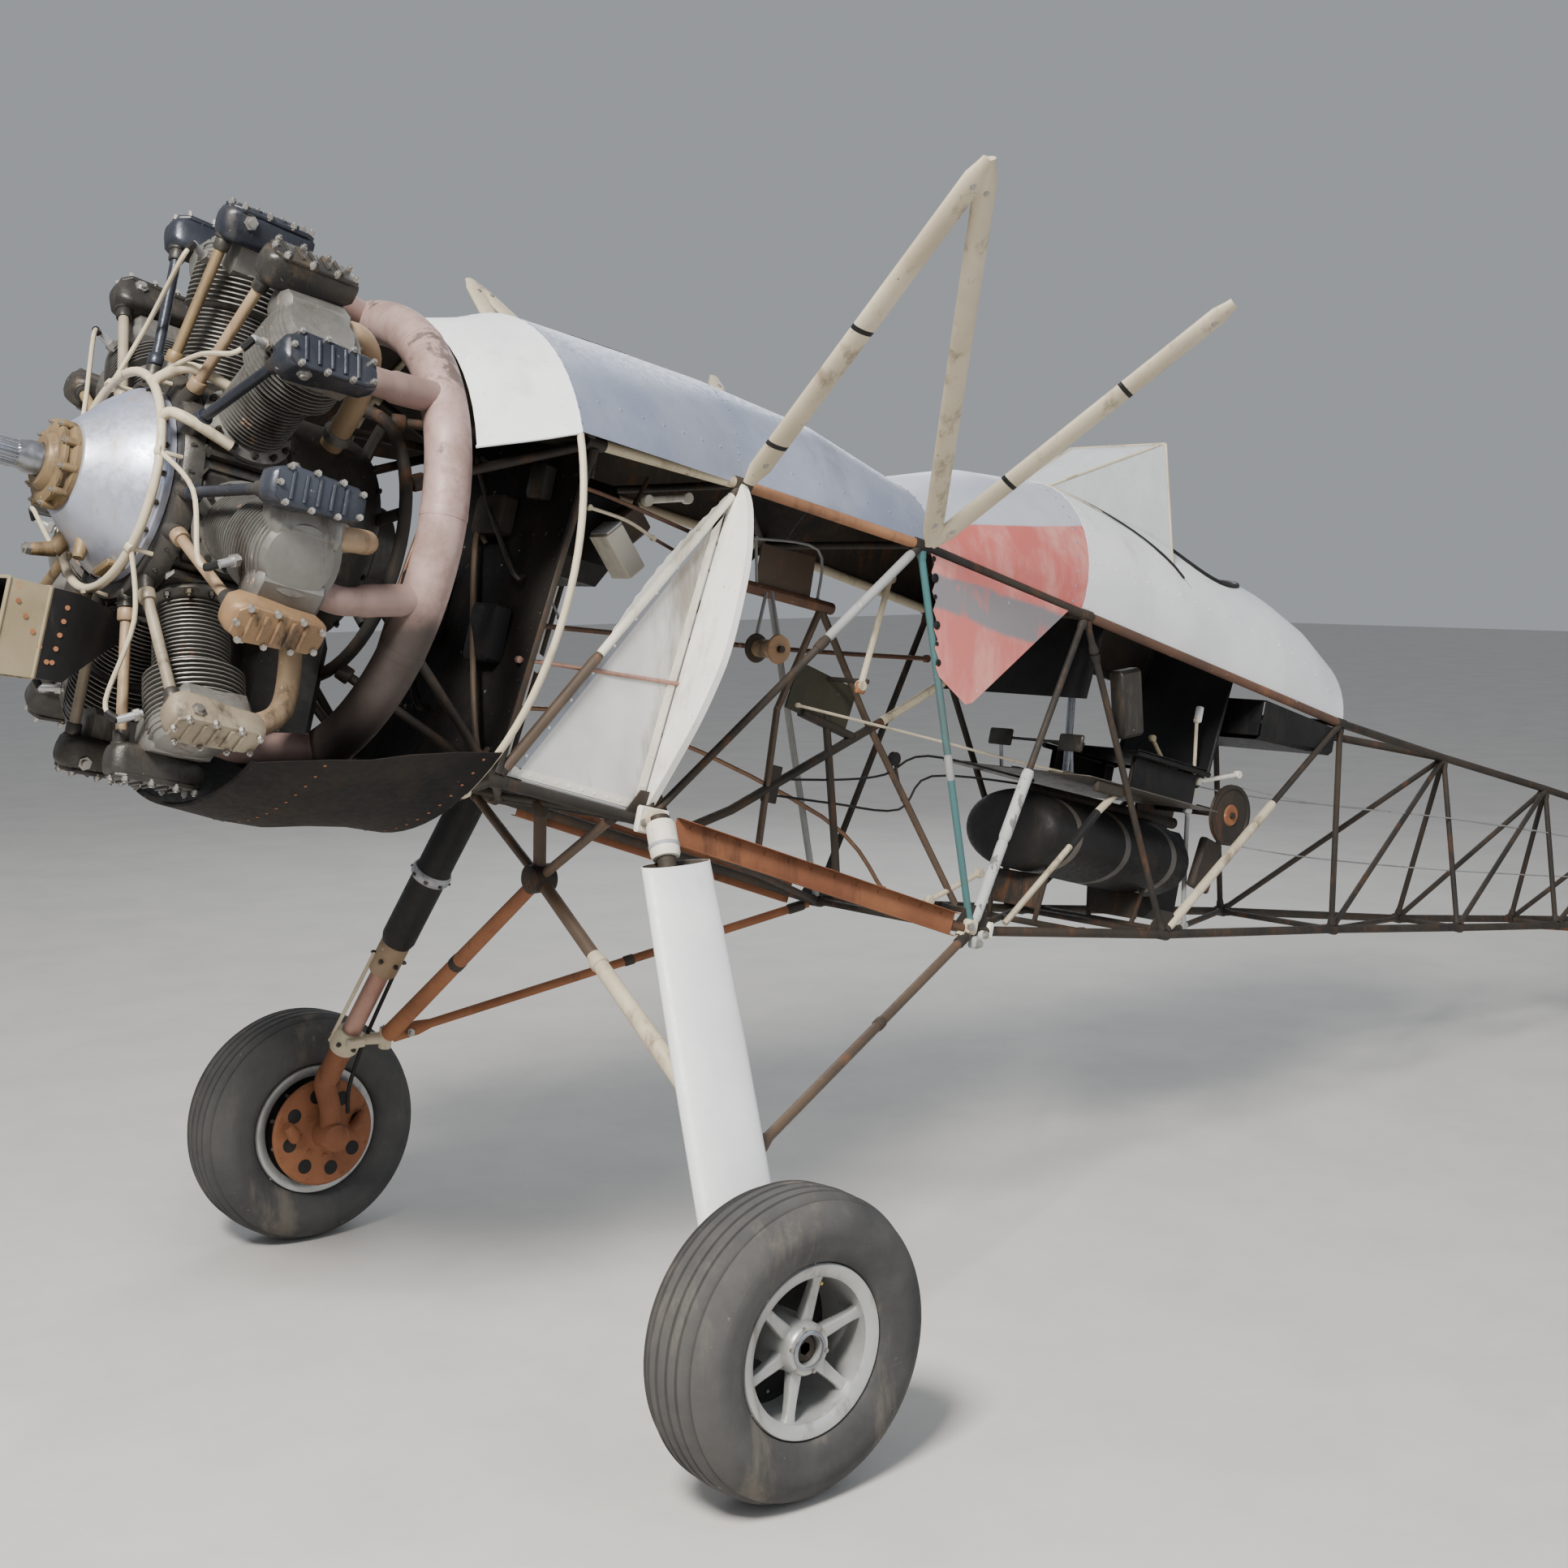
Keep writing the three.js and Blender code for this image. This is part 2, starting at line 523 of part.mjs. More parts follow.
// One leg with its top fitting, knee, stub axle and brake plate: height range and radius of each barrel
const legBarrels = {
  left: [[1310, 485, LEG_CORE]],
  right: [[1310, 870, 46], [1090, 1065, 54], [880, 800, PISTON + 14], [810, 600, PISTON], [625, 570, 40],
    [600, 485, 31]],
};
function legSolid(name, extra) {
  const side = name === 'left' ? -1 : 1;
  const bars = legBarrels[name].map(([high, floor, radius]) => (
    rod(legAt(high, side), legAt(floor, side), radius + extra, 10)));
  bars.push(rod(ground(201, side * 320, 1297), legTop(side), 24 + extra, 8));
  const lug = strutFitting(side).sub(legAt(600, side));
  bars.push(rod(legAt(600, side), strutFitting(side).addScaledVector(lug.normalize(), extra), 17 + extra, 8));
  bars.push(rod(legAt(500, side), ground(0, side * 884, TYRE_RADIUS), 30 + extra, 10));
  return union(bars);
}
const legRooms = union(legSolid('left', GAP), legSolid('right', GAP));
function gearPyramid(extra) {
  const hubEnds = [-HUB_BARREL, HUB_BARREL].map((along) => hub.clone().add(vec(along, 0, 0)));
  const bars = [rod(...hubEnds, HUB_BARREL + extra, 10)];
  for (const side of [-1, 1]) {
    bars.push(rod(hub, lowAt(gearCross, side), 12 + extra));
    bars.push(rod(hub, strutFitting(side), 17 + extra, 8, 24 + extra));
  }
  bars.push(rod(hub, lowAt(gearCross, 0), 16 + extra));
  return union(bars);
}
const pyramidRoom = gearPyramid(GAP);
const dragStrut = (side, extra) => union(
  rod(low(2, side), strutFitting(side).lerp(low(2, side), 0.08), 13 + extra, 8),
  rod(strutFitting(side).lerp(low(2, side), 0.1), strutFitting(side), 21 + extra, 8),
);
add('gear_centre', 'frame', clearOfTruss(gearPyramid(0).subtract(legRooms)));

// Streamlined leg fairing: height, chord and thickness
const fairingStations = [[1215, 190, 70], [850, 202, 76], [490, 202, 76]];
const fairingRing = ([height, chord, thick], wall, slide) => Array.from({ length: 14 }, (_, j) => {
  const t = (j / 14) * 2 * Math.PI;
  const reach = (chord * 0.5 - wall) * Math.cos(t) * (Math.cos(t) > 0 ? 1.27 : 0.73);
  return legAt(height - slide, -1).add(vec(reach, (thick * 0.5 - wall) * Math.sin(t), 0));
});
const fairingHollow = ringLoft(fairingStations.map((row, i) => fairingRing(row, 2, [-3, 0, 3][i])));
const fairingOuter = ringLoft(fairingStations.map((row) => fairingRing(row, 0, 0)));
const gearRoom = union(legRooms, pyramidRoom);
add('leg_fairing_left', 'white', largest(
  fairingOuter.subtract(fairingHollow).subtract(gearRoom).subtract(dragStrut(-1, GAP))));

// Wheels and tyres, with the stub axle and brake plate of each leg: radius and place along the axle
const axleProfile = [
  [0, 846], [40, 846], [40, 925], [150, 925], [150, 942], [30, 942], [30, 1112], [0, 1112],
];
const rimProfile = [
  [150, 1000], [150, 975], [176, 965], [182, 975], [160, 1000], [160, 1110], [182, 1135], [176, 1141],
  [150, 1130], [150, 1000],
];
const hubProfile = [[30.8, 960], [60, 960], [60, 1060], [54, 1120], [30.8, 1125], [30.8, 960]];
const webProfile = [[50, 990], [156, 990], [156, 994], [50, 994], [50, 990]];
const halfTyre = TYRE_WIDTH / 2;
const tyreHalf = [
  [182.5, 82], [215, halfTyre - 8], [262, halfTyre], [300, 84], [318, 45], [TYRE_RADIUS, 0],
];
const tyreProfile = [
  ...tyreHalf.map(([radius, across]) => [radius, TRACK / 2 - across]),
  ...tyreHalf.slice(0, -1).reverse().map(([radius, across]) => [radius, TRACK / 2 + across]),
  [tyreHalf[0][0], TRACK / 2 - tyreHalf[0][1]],
];
for (const side of [-1, 1]) {
  const name = side < 0 ? 'left' : 'right';
  const turnedAt = new THREE.Matrix4().makeTranslation(-SHIFT_X, 0, TYRE_RADIUS);
  if (side < 0) turnedAt.multiply(new THREE.Matrix4().makeRotationZ(Math.PI));
  const axle = turned(axleProfile, 24, turnedAt);
  add(`gear_leg_${name}`, side < 0 ? 'steel' : 'rust', clearOfTruss(union(legSolid(name, 0), axle)));
  add(`drag_strut_${name}`, 'frame', clearOfTruss(dragStrut(side, 0).subtract(gearRoom)));
  const spokeBars = Array.from({ length: SPOKES }, (_, k) => {
    const t = ((k + 0.25) / SPOKES) * 2 * Math.PI;
    const at = (radius, across) => (
      vec(radius * Math.sin(t), across, radius * Math.cos(t)).applyMatrix4(turnedAt));
    return rod(at(50, 1092), at(154, 1104), 15, 6, 10);
  });
  add(`wheel_${name}`, 'silver', union(
    turned(rimProfile, 28, turnedAt), turned(hubProfile, 16, turnedAt), turned(webProfile, 20, turnedAt),
    spokeBars,
  ));
  add(`tyre_${name}`, 'tyre', turned(tyreProfile, 28, turnedAt));
}

// Cabane struts, tipped outward on their bolts
const cabaneTips = [
  { side: -1, name: 'left', front: [364, -1001, 1040], rear: [1266, -978, 1034] },
  { side: 1, name: 'right', front: [365, 1050, 987], rear: [1267, 1025, 982] },
];
for (const { side, name, front, rear } of cabaneTips) {
  const frontFoot = fus(414, side * 343, 366);
  const rearFoot = fus(1030, side * 343, 376);
  add(`cabane_${name}`, 'cream', clearOfTruss(union(
    blade(frontFoot, fus(...front), 62, 26),
    blade(rearFoot, fus(...front), 56, 24),
    blade(rearFoot, fus(...rear), 62, 26),
  )));
}

// Tailwheel on its swivel post
const postTurn = new THREE.Matrix4().makeTranslation(CASTOR_X - SHIFT_X, 0, 0)
  .multiply(new THREE.Matrix4().makeRotationX(Math.PI / 2));
const boss = turned([[10.6, 300], [30, 300], [30, 356], [10.6, 356], [10.6, 300]], 16, postTurn);
const bossRoom = rod(ground(CASTOR_X, 0, 290), ground(CASTOR_X, 0, 400), 10.6, 16);
const springLeaf = [
  { x: 4690, top: 466, base: 452 }, { x: 5200, top: 384, base: 372 }, { x: CASTOR_X, top: 346, base: 326 },
];
const springBar = ringLoft(springLeaf.map((row) => [
  ground(row.x, -22, row.top), ground(row.x, 22, row.top), ground(row.x, 22, row.base),
  ground(row.x, -22, row.base)]));
add('tail_spring', 'rust', clearOfTruss(union(boss, springBar).subtract(bossRoom)));
add('tailwheel_fork', 'steel', union(
  rod(ground(CASTOR_X, 0, 262), ground(CASTOR_X, 0, 348), 10, 12),
  rod(ground(CASTOR_X, 0, 262), ground(CASTOR_X, 0, 294), 26, 12),
  block([5470, 0, 264], [110, 130, 12], new THREE.Matrix4().makeTranslation(-SHIFT_X, 0, 0)),
  ...[-1, 1].map((side) => ringLoft([
    [ground(5420, side * 52, 268), ground(5520, side * 52, 268), ground(5520, side * 62, 268),
      ground(5420, side * 62, 268)],
    [ground(5480, side * 52, 100), ground(5520, side * 52, 100), ground(5520, side * 62, 100),
      ground(5480, side * 62, 100)]])),
  rod(ground(TAIL_WHEEL_X, -56, TAIL_WHEEL_RADIUS), ground(TAIL_WHEEL_X, 56, TAIL_WHEEL_RADIUS), 9, 10),
));
const tailTurn = new THREE.Matrix4().makeTranslation(TAIL_WHEEL_X - SHIFT_X, 0, TAIL_WHEEL_RADIUS);
const tailHalf = [[9.6, 42], [40, 42], [55, 30], [80, 36], [112, 36], [TAIL_WHEEL_RADIUS, 16]];
add('tailwheel', 'tyre', turned([
  ...tailHalf.map(([radius, across]) => [radius, -across]),
  ...tailHalf.slice().reverse(),
  [tailHalf[0][0], -tailHalf[0][1]]], 20, tailTurn));

export default model;
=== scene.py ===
from math import atan2, asin, cos, pi, radians, sin, sqrt

import bmesh
import bpy
from mathutils import Matrix, Vector


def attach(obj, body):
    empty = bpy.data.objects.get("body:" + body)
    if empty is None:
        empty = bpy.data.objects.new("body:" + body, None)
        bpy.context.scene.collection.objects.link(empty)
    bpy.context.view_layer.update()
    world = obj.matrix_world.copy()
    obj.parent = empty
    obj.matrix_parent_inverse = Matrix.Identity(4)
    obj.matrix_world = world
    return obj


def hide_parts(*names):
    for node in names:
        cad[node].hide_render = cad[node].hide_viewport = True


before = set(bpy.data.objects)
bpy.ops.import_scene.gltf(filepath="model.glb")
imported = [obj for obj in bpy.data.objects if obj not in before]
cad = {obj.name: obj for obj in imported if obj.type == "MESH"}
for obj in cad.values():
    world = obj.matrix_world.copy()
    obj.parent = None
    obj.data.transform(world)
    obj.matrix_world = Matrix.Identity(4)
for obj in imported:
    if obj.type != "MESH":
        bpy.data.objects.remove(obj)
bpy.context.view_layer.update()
collection = bpy.context.scene.collection

# The thrust line is tipped nose up: fus() takes a station along it, a half width and a height, all in metres
stand = {"thrustHeight": 1.828, "noseUp": radians(14.61), "shift": 2.17055}
cosNose, sinNose = cos(stand["noseUp"]), sin(stand["noseUp"])
alongThrust = Matrix(((cosNose, 0, sinNose, -stand["shift"]), (0, 1, 0, 0),
                      (-sinNose, 0, cosNose, stand["thrustHeight"]), (0, 0, 0, 1)))


def fus(station, half, height):
    return alongThrust @ Vector((station, half, height))


def fusAll(*points):
    return [fus(*point) for point in points]


# A direction in the airframe's own axes
def aimed(station, half, height):
    return fus(station, half, height) - fus(0, 0, 0)


def ground(x, y, z):
    return Vector((x - stand["shift"], y, z))


# A place whose axes are the airframe's own
def tipped(point):
    return Matrix.Translation(point) @ alongThrust.to_3x3().to_4x4()


def turnX(degrees):
    return Matrix.Rotation(radians(degrees), 4, "X")


def onRing(station, radius, turn):
    return fus(station, radius * sin(turn), radius * cos(turn))


def turns(count, lead=0.0):
    return [2 * pi * (n + lead) / count for n in range(count)]


def between(start, end, share):
    return start + (end - start) * share


def stationOf(point):
    return (alongThrust.inverted() @ point).x


rearward, forward, upward = aimed(1, 0, 0).normalized(), aimed(-1, 0, 0), aimed(0, 0, 1)


# A rectangle with rounded corners, as pairs of half sizes
def outline(halfWide, halfHigh, corner, steps=3):
    points = []
    for quarter, (signY, signZ) in enumerate(((1, 1), (-1, 1), (-1, -1), (1, -1))):
        for step in range(steps + 1):
            angle = pi / 2 * (quarter + step / steps)
            points.append((signY * (halfWide - corner) + corner * cos(angle),
                           signZ * (halfHigh - corner) + corner * sin(angle)))
    return points


# Mesh of one piece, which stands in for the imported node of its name
class Shape:
    made = []

    def __init__(self, node, slot="frame", angle=36, body="airframe", name=None):
        self.node, self.slot, self.angle, self.body = node, slot, angle, body
        self.name = name or f"{node}_full"
        self.points, self.faces, self.looks, self.names = [], [], [], []
        Shape.made.append(self)

    def add(self, points, faces, look):
        start = len(self.points)
        self.points.extend(tuple(point) for point in points)
        self.faces.extend([start + i for i in face] for face in faces)
        if look not in self.names:
            self.names.append(look)
        self.looks.extend([self.names.index(look)] * len(faces))

    def rings(self, rings, look, caps=True, loop=False):
        count = len(rings[0])
        faces = [(i * count + j, i * count + (j + 1) % count,
                  (i + 1) % len(rings) * count + (j + 1) % count, (i + 1) % len(rings) * count + j)
                 for i in range(len(rings) if loop else len(rings) - 1) for j in range(count)]
        if caps and not loop:
            faces.append(tuple(range(count - 1, -1, -1)))
            faces.append(tuple((len(rings) - 1) * count + j for j in range(count)))
        self.add([point for ring in rings for point in ring], faces, look)

    # A plate between an outline pushed both ways
    def plate(self, corners, push, look):
        self.rings([[p + push for p in corners], [p - push for p in corners]], look)

    def tube(self, path, radius, look, sides=12, loop=False):
        radii = radius if isinstance(radius, (list, tuple)) else [radius] * len(path)
        last = len(path) - 1
        made, side = [], None
        for i, point in enumerate(path):
            before = path[i - 1] if (i or loop) else point
            after = path[(i + 1) % len(path)] if (i < last or loop) else point
            along = (after - before).normalized()
            if side is None:
                side = along.cross(Vector((0.31, 0.17, 0.93))).normalized()
            side = (side - along * side.dot(along)).normalized()
            third = along.cross(side)
            made.append([point + radii[i] * (side * cos(turn) + third * sin(turn)) for turn in turns(sides)])
        self.rings(made, look, loop=loop)

    def bar(self, start, end, radius, look, endRadius=None, sides=12):
        self.tube([start, end], [radius, radius if endRadius is None else endRadius], look, sides)

    def collar(self, start, end, share, radius, length, look, sides=14):
        middle, step = between(start, end, share), (end - start).normalized() * length * 0.5
        self.tube([middle + step * t for t in (-1, -0.8, 0.8, 1)],
                  [radius * 0.9, radius, radius, radius * 0.9], look, sides)

    # Pairs of radius and distance along the place's x axis, turned round it
    def lathe(self, profile, place, look, segments=32):
        points, starts = [], []
        for radius, along in profile:
            starts.append(len(points))
            rim = turns(segments) if radius else [0]
            points.extend(place @ Vector((along, radius * sin(turn), radius * cos(turn))) for turn in rim)
        faces = []
        for (radiusA, _), (radiusB, _), a, b in zip(profile, profile[1:], starts, starts[1:]):
            for j in range(segments if radiusA or radiusB else 0):
                k = (j + 1) % segments
                first = (a + j, a + k) if radiusA else (a,)
                second = (b + k, b + j) if radiusB else (b,)
                faces.append(first + second)
        self.add(points, faces, look)

    def block(self, place, centre, size, look, chamfer=0.002):
        long, wide, high = (value / 2 for value in size)
        rows = ((-long, chamfer), (chamfer - long, 0), (long - chamfer, 0), (long, chamfer))
        self.rings([[place @ Vector((centre[0] + along, centre[1] + y, centre[2] + z))
                     for y, z in outline(wide - inset, high - inset, chamfer, 1)] for along, inset in rows],
                   look)

    def sheet(self, rows, thickness, look, inside=None):
        count = len(rows[0])
        back = []
        for i, row in enumerate(rows):
            for j, point in enumerate(row):
                across = row[min(j + 1, count - 1)] - row[max(j - 1, 0)]
                along = rows[min(i + 1, len(rows) - 1)][j] - rows[max(i - 1, 0)][j]
                back.append(point + across.cross(along).normalized() * thickness)
        front = [point for row in rows for point in row]
        quads = [(i * count + j, i * count + j + 1, (i + 1) * count + j + 1, (i + 1) * count + j)
                 for i in range(len(rows) - 1) for j in range(count - 1)]
        self.add(front, [quad[::-1] for quad in quads], look)
        self.add(back, quads, inside or look)
        rim = list(range(count)) + [i * count + count - 1 for i in range(1, len(rows))]
        rim += [(len(rows) - 1) * count + j for j in range(count - 2, -1, -1)]
        rim += [i * count for i in range(len(rows) - 2, 0, -1)]
        size = len(rim)
        self.add([front[i] for i in rim] + [back[i] for i in rim],
                 [(j, (j + 1) % size, size + (j + 1) % size, size + j) for j in range(size)], look)

    def place(self):
        mesh = bpy.data.meshes.new(self.name)
        mesh.from_pydata(self.points, [], self.faces)
        for name in self.names:
            mesh.materials.append(finishes[name])
        mesh.polygons.foreach_set("material_index", self.looks)
        mesh.polygons.foreach_set("use_smooth", [True] * len(self.faces))
        mesh.validate()
        tidy = bmesh.new()
        tidy.from_mesh(mesh)
        bmesh.ops.remove_doubles(tidy, verts=tidy.verts, dist=0.000002)
        bmesh.ops.recalc_face_normals(tidy, faces=tidy.faces)
        tidy.to_mesh(mesh)
        tidy.free()
        mesh.set_sharp_from_angle(angle=radians(self.angle))
        piece = bpy.data.objects.new(self.name, mesh)
        collection.objects.link(piece)
        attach(piece, self.body)
        if self.node:
            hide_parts(self.node)


# Smooth run through a few points
def curved(points, steps=6):
    path = []
    for i in range(len(points) - 1):
        before, start = points[max(i - 1, 0)], points[i]
        end, after = points[i + 1], points[min(i + 2, len(points) - 1)]
        for step in range(steps):
            t = step / steps
            pull, swing = 2 * before - 5 * start + 4 * end - after, 3 * start - before - 3 * end + after
            path.append(0.5 * (2 * start + (end - before) * t + pull * t * t + swing * t ** 3))
    return path + [points[-1]]


# A closed circle across the thrust line, from its lowest point
def circle(station, radius, count):
    return [onRing(station, radius, turn - pi) for turn in turns(count)]


# shader and geometry graphs
class Wire:
    def __init__(self, tree, socket):
        self.tree, self.socket = tree, socket

    def feed(self, inlet):
        self.tree.links.new(self.socket, inlet)

    def maths(self, operation, *values):
        made = self.tree.nodes.new("ShaderNodeMath")
        made.operation = operation
        for inlet, value in zip(made.inputs, values):
            setInlet(inlet, value)
        return Wire(self.tree, made.outputs[0])

    def __add__(self, other):
        return self.maths("ADD", self, other)

    def __sub__(self, other):
        return self.maths("SUBTRACT", self, other)

    def __rsub__(self, other):
        return self.maths("SUBTRACT", other, self)

    def __mul__(self, other):
        return self.maths("MULTIPLY", self, other)


def setInlet(inlet, value):
    if isinstance(value, Wire):
        value.feed(inlet)
        return
    if isinstance(value, tuple) and len(inlet.default_value) == 4:
        value = (*value, 1)
    inlet.default_value = value


class Graph:
    def __init__(self, tree, prefix):
        self.tree, self.prefix = tree, prefix

    def node(self, kind, settings=None, values=None, outlet=0, prefix=None):
        made = self.tree.nodes.new((prefix or self.prefix) + kind)
        for key, value in (settings or {}).items():
            setattr(made, key, value)
        for key, value in (values or {}).items():
            setInlet(made.inputs[key], value)
        return Wire(self.tree, made.outputs[outlet])


class Finish(Graph):
    def __init__(self, name):
        self.material = bpy.data.materials.new(name)
        self.material.use_nodes = True
        super().__init__(self.material.node_tree, "ShaderNode")
        self.shader = self.tree.nodes["Principled BSDF"]
        self.spot = self.node("TexCoord", outlet=3)

    def noise(self, scale, detail=5, roughness=0.62, stretch=None, shift=0.0):
        spot = self.spot
        if stretch or shift:
            spot = self.node("Mapping", values={"Vector": spot, "Scale": stretch or (1, 1, 1),
                                                "Location": (shift, shift * 0.7, -shift)})
        return self.node("TexNoise", {"noise_dimensions": "3D"},
                         {"Vector": spot, "Scale": scale, "Detail": detail, "Roughness": roughness})

    def band(self, value, low, high, toLow=0.0, toHigh=1.0):
        return self.node("MapRange", {"interpolation_type": "SMOOTHSTEP"},
                         {"Value": value, "From Min": low, "From Max": high, "To Min": toLow,
                          "To Max": toHigh})

    def blend(self, mask, under, over):
        return self.node("Mix", {"data_type": "RGBA"}, {0: mask, 6: under, 7: over}, 2)

    def axes(self):
        split = self.node("SeparateXYZ", values={0: self.spot}).socket.node
        return [Wire(self.tree, outlet) for outlet in split.outputs]

    def dress(self, height=None, distance=0.0, strength=0.5, **sockets):
        if height:
            sockets["Normal"] = self.node("Bump", values={"Height": height, "Distance": distance,
                                                          "Strength": strength})
        for label, value in sockets.items():
            setInlet(self.shader.inputs[label.replace("_", " ")], value)
        return self.material


# Worn paint over metal: cloudy tone, grime in broad patches, chips to a second tone, fine bump
usual = dict(streakScale=9.0, stretch=(1, 1, 0.25), grimeBand=(0.52, 0.72), chipScale=22.0,
             chipBand=(0.66, 0.69), metallic=0.0, relief=0.0012, bump=0.5, specular=0.4)


def wornPaint(name, base, shade, grimeTone, chipTone, grimeShare, roughness, **own):
    look, finish = {**usual, **own}, Finish(name)
    cloud = finish.noise(3.0)
    fine = finish.noise(60.0, 3, 0.7, shift=3.1)
    streak = finish.noise(look["streakScale"], 5, 0.68, look["stretch"], 1.7)
    tone = finish.blend(finish.band(cloud, 0.34, 0.68), base, shade)
    grime = finish.band(streak, *look["grimeBand"]) * grimeShare
    tone = finish.blend(grime, tone, grimeTone)
    chips = finish.band(finish.noise(look["chipScale"], 6, 0.75, shift=5.3), *look["chipBand"])
    tone = finish.blend(chips, tone, chipTone)
    rough = finish.band(fine, 0.3, 0.7, roughness - 0.08, roughness + 0.1) + grime * 0.2
    return finish.dress(fine * 0.35 + cloud * 0.3 - chips * 0.4, look["relief"], look["bump"],
                        Base_Color=tone, Roughness=rough,
                        Metallic=look["metallic"] - chips * look["metallic"] * 0.6,
                        Specular_IOR_Level=look["specular"])


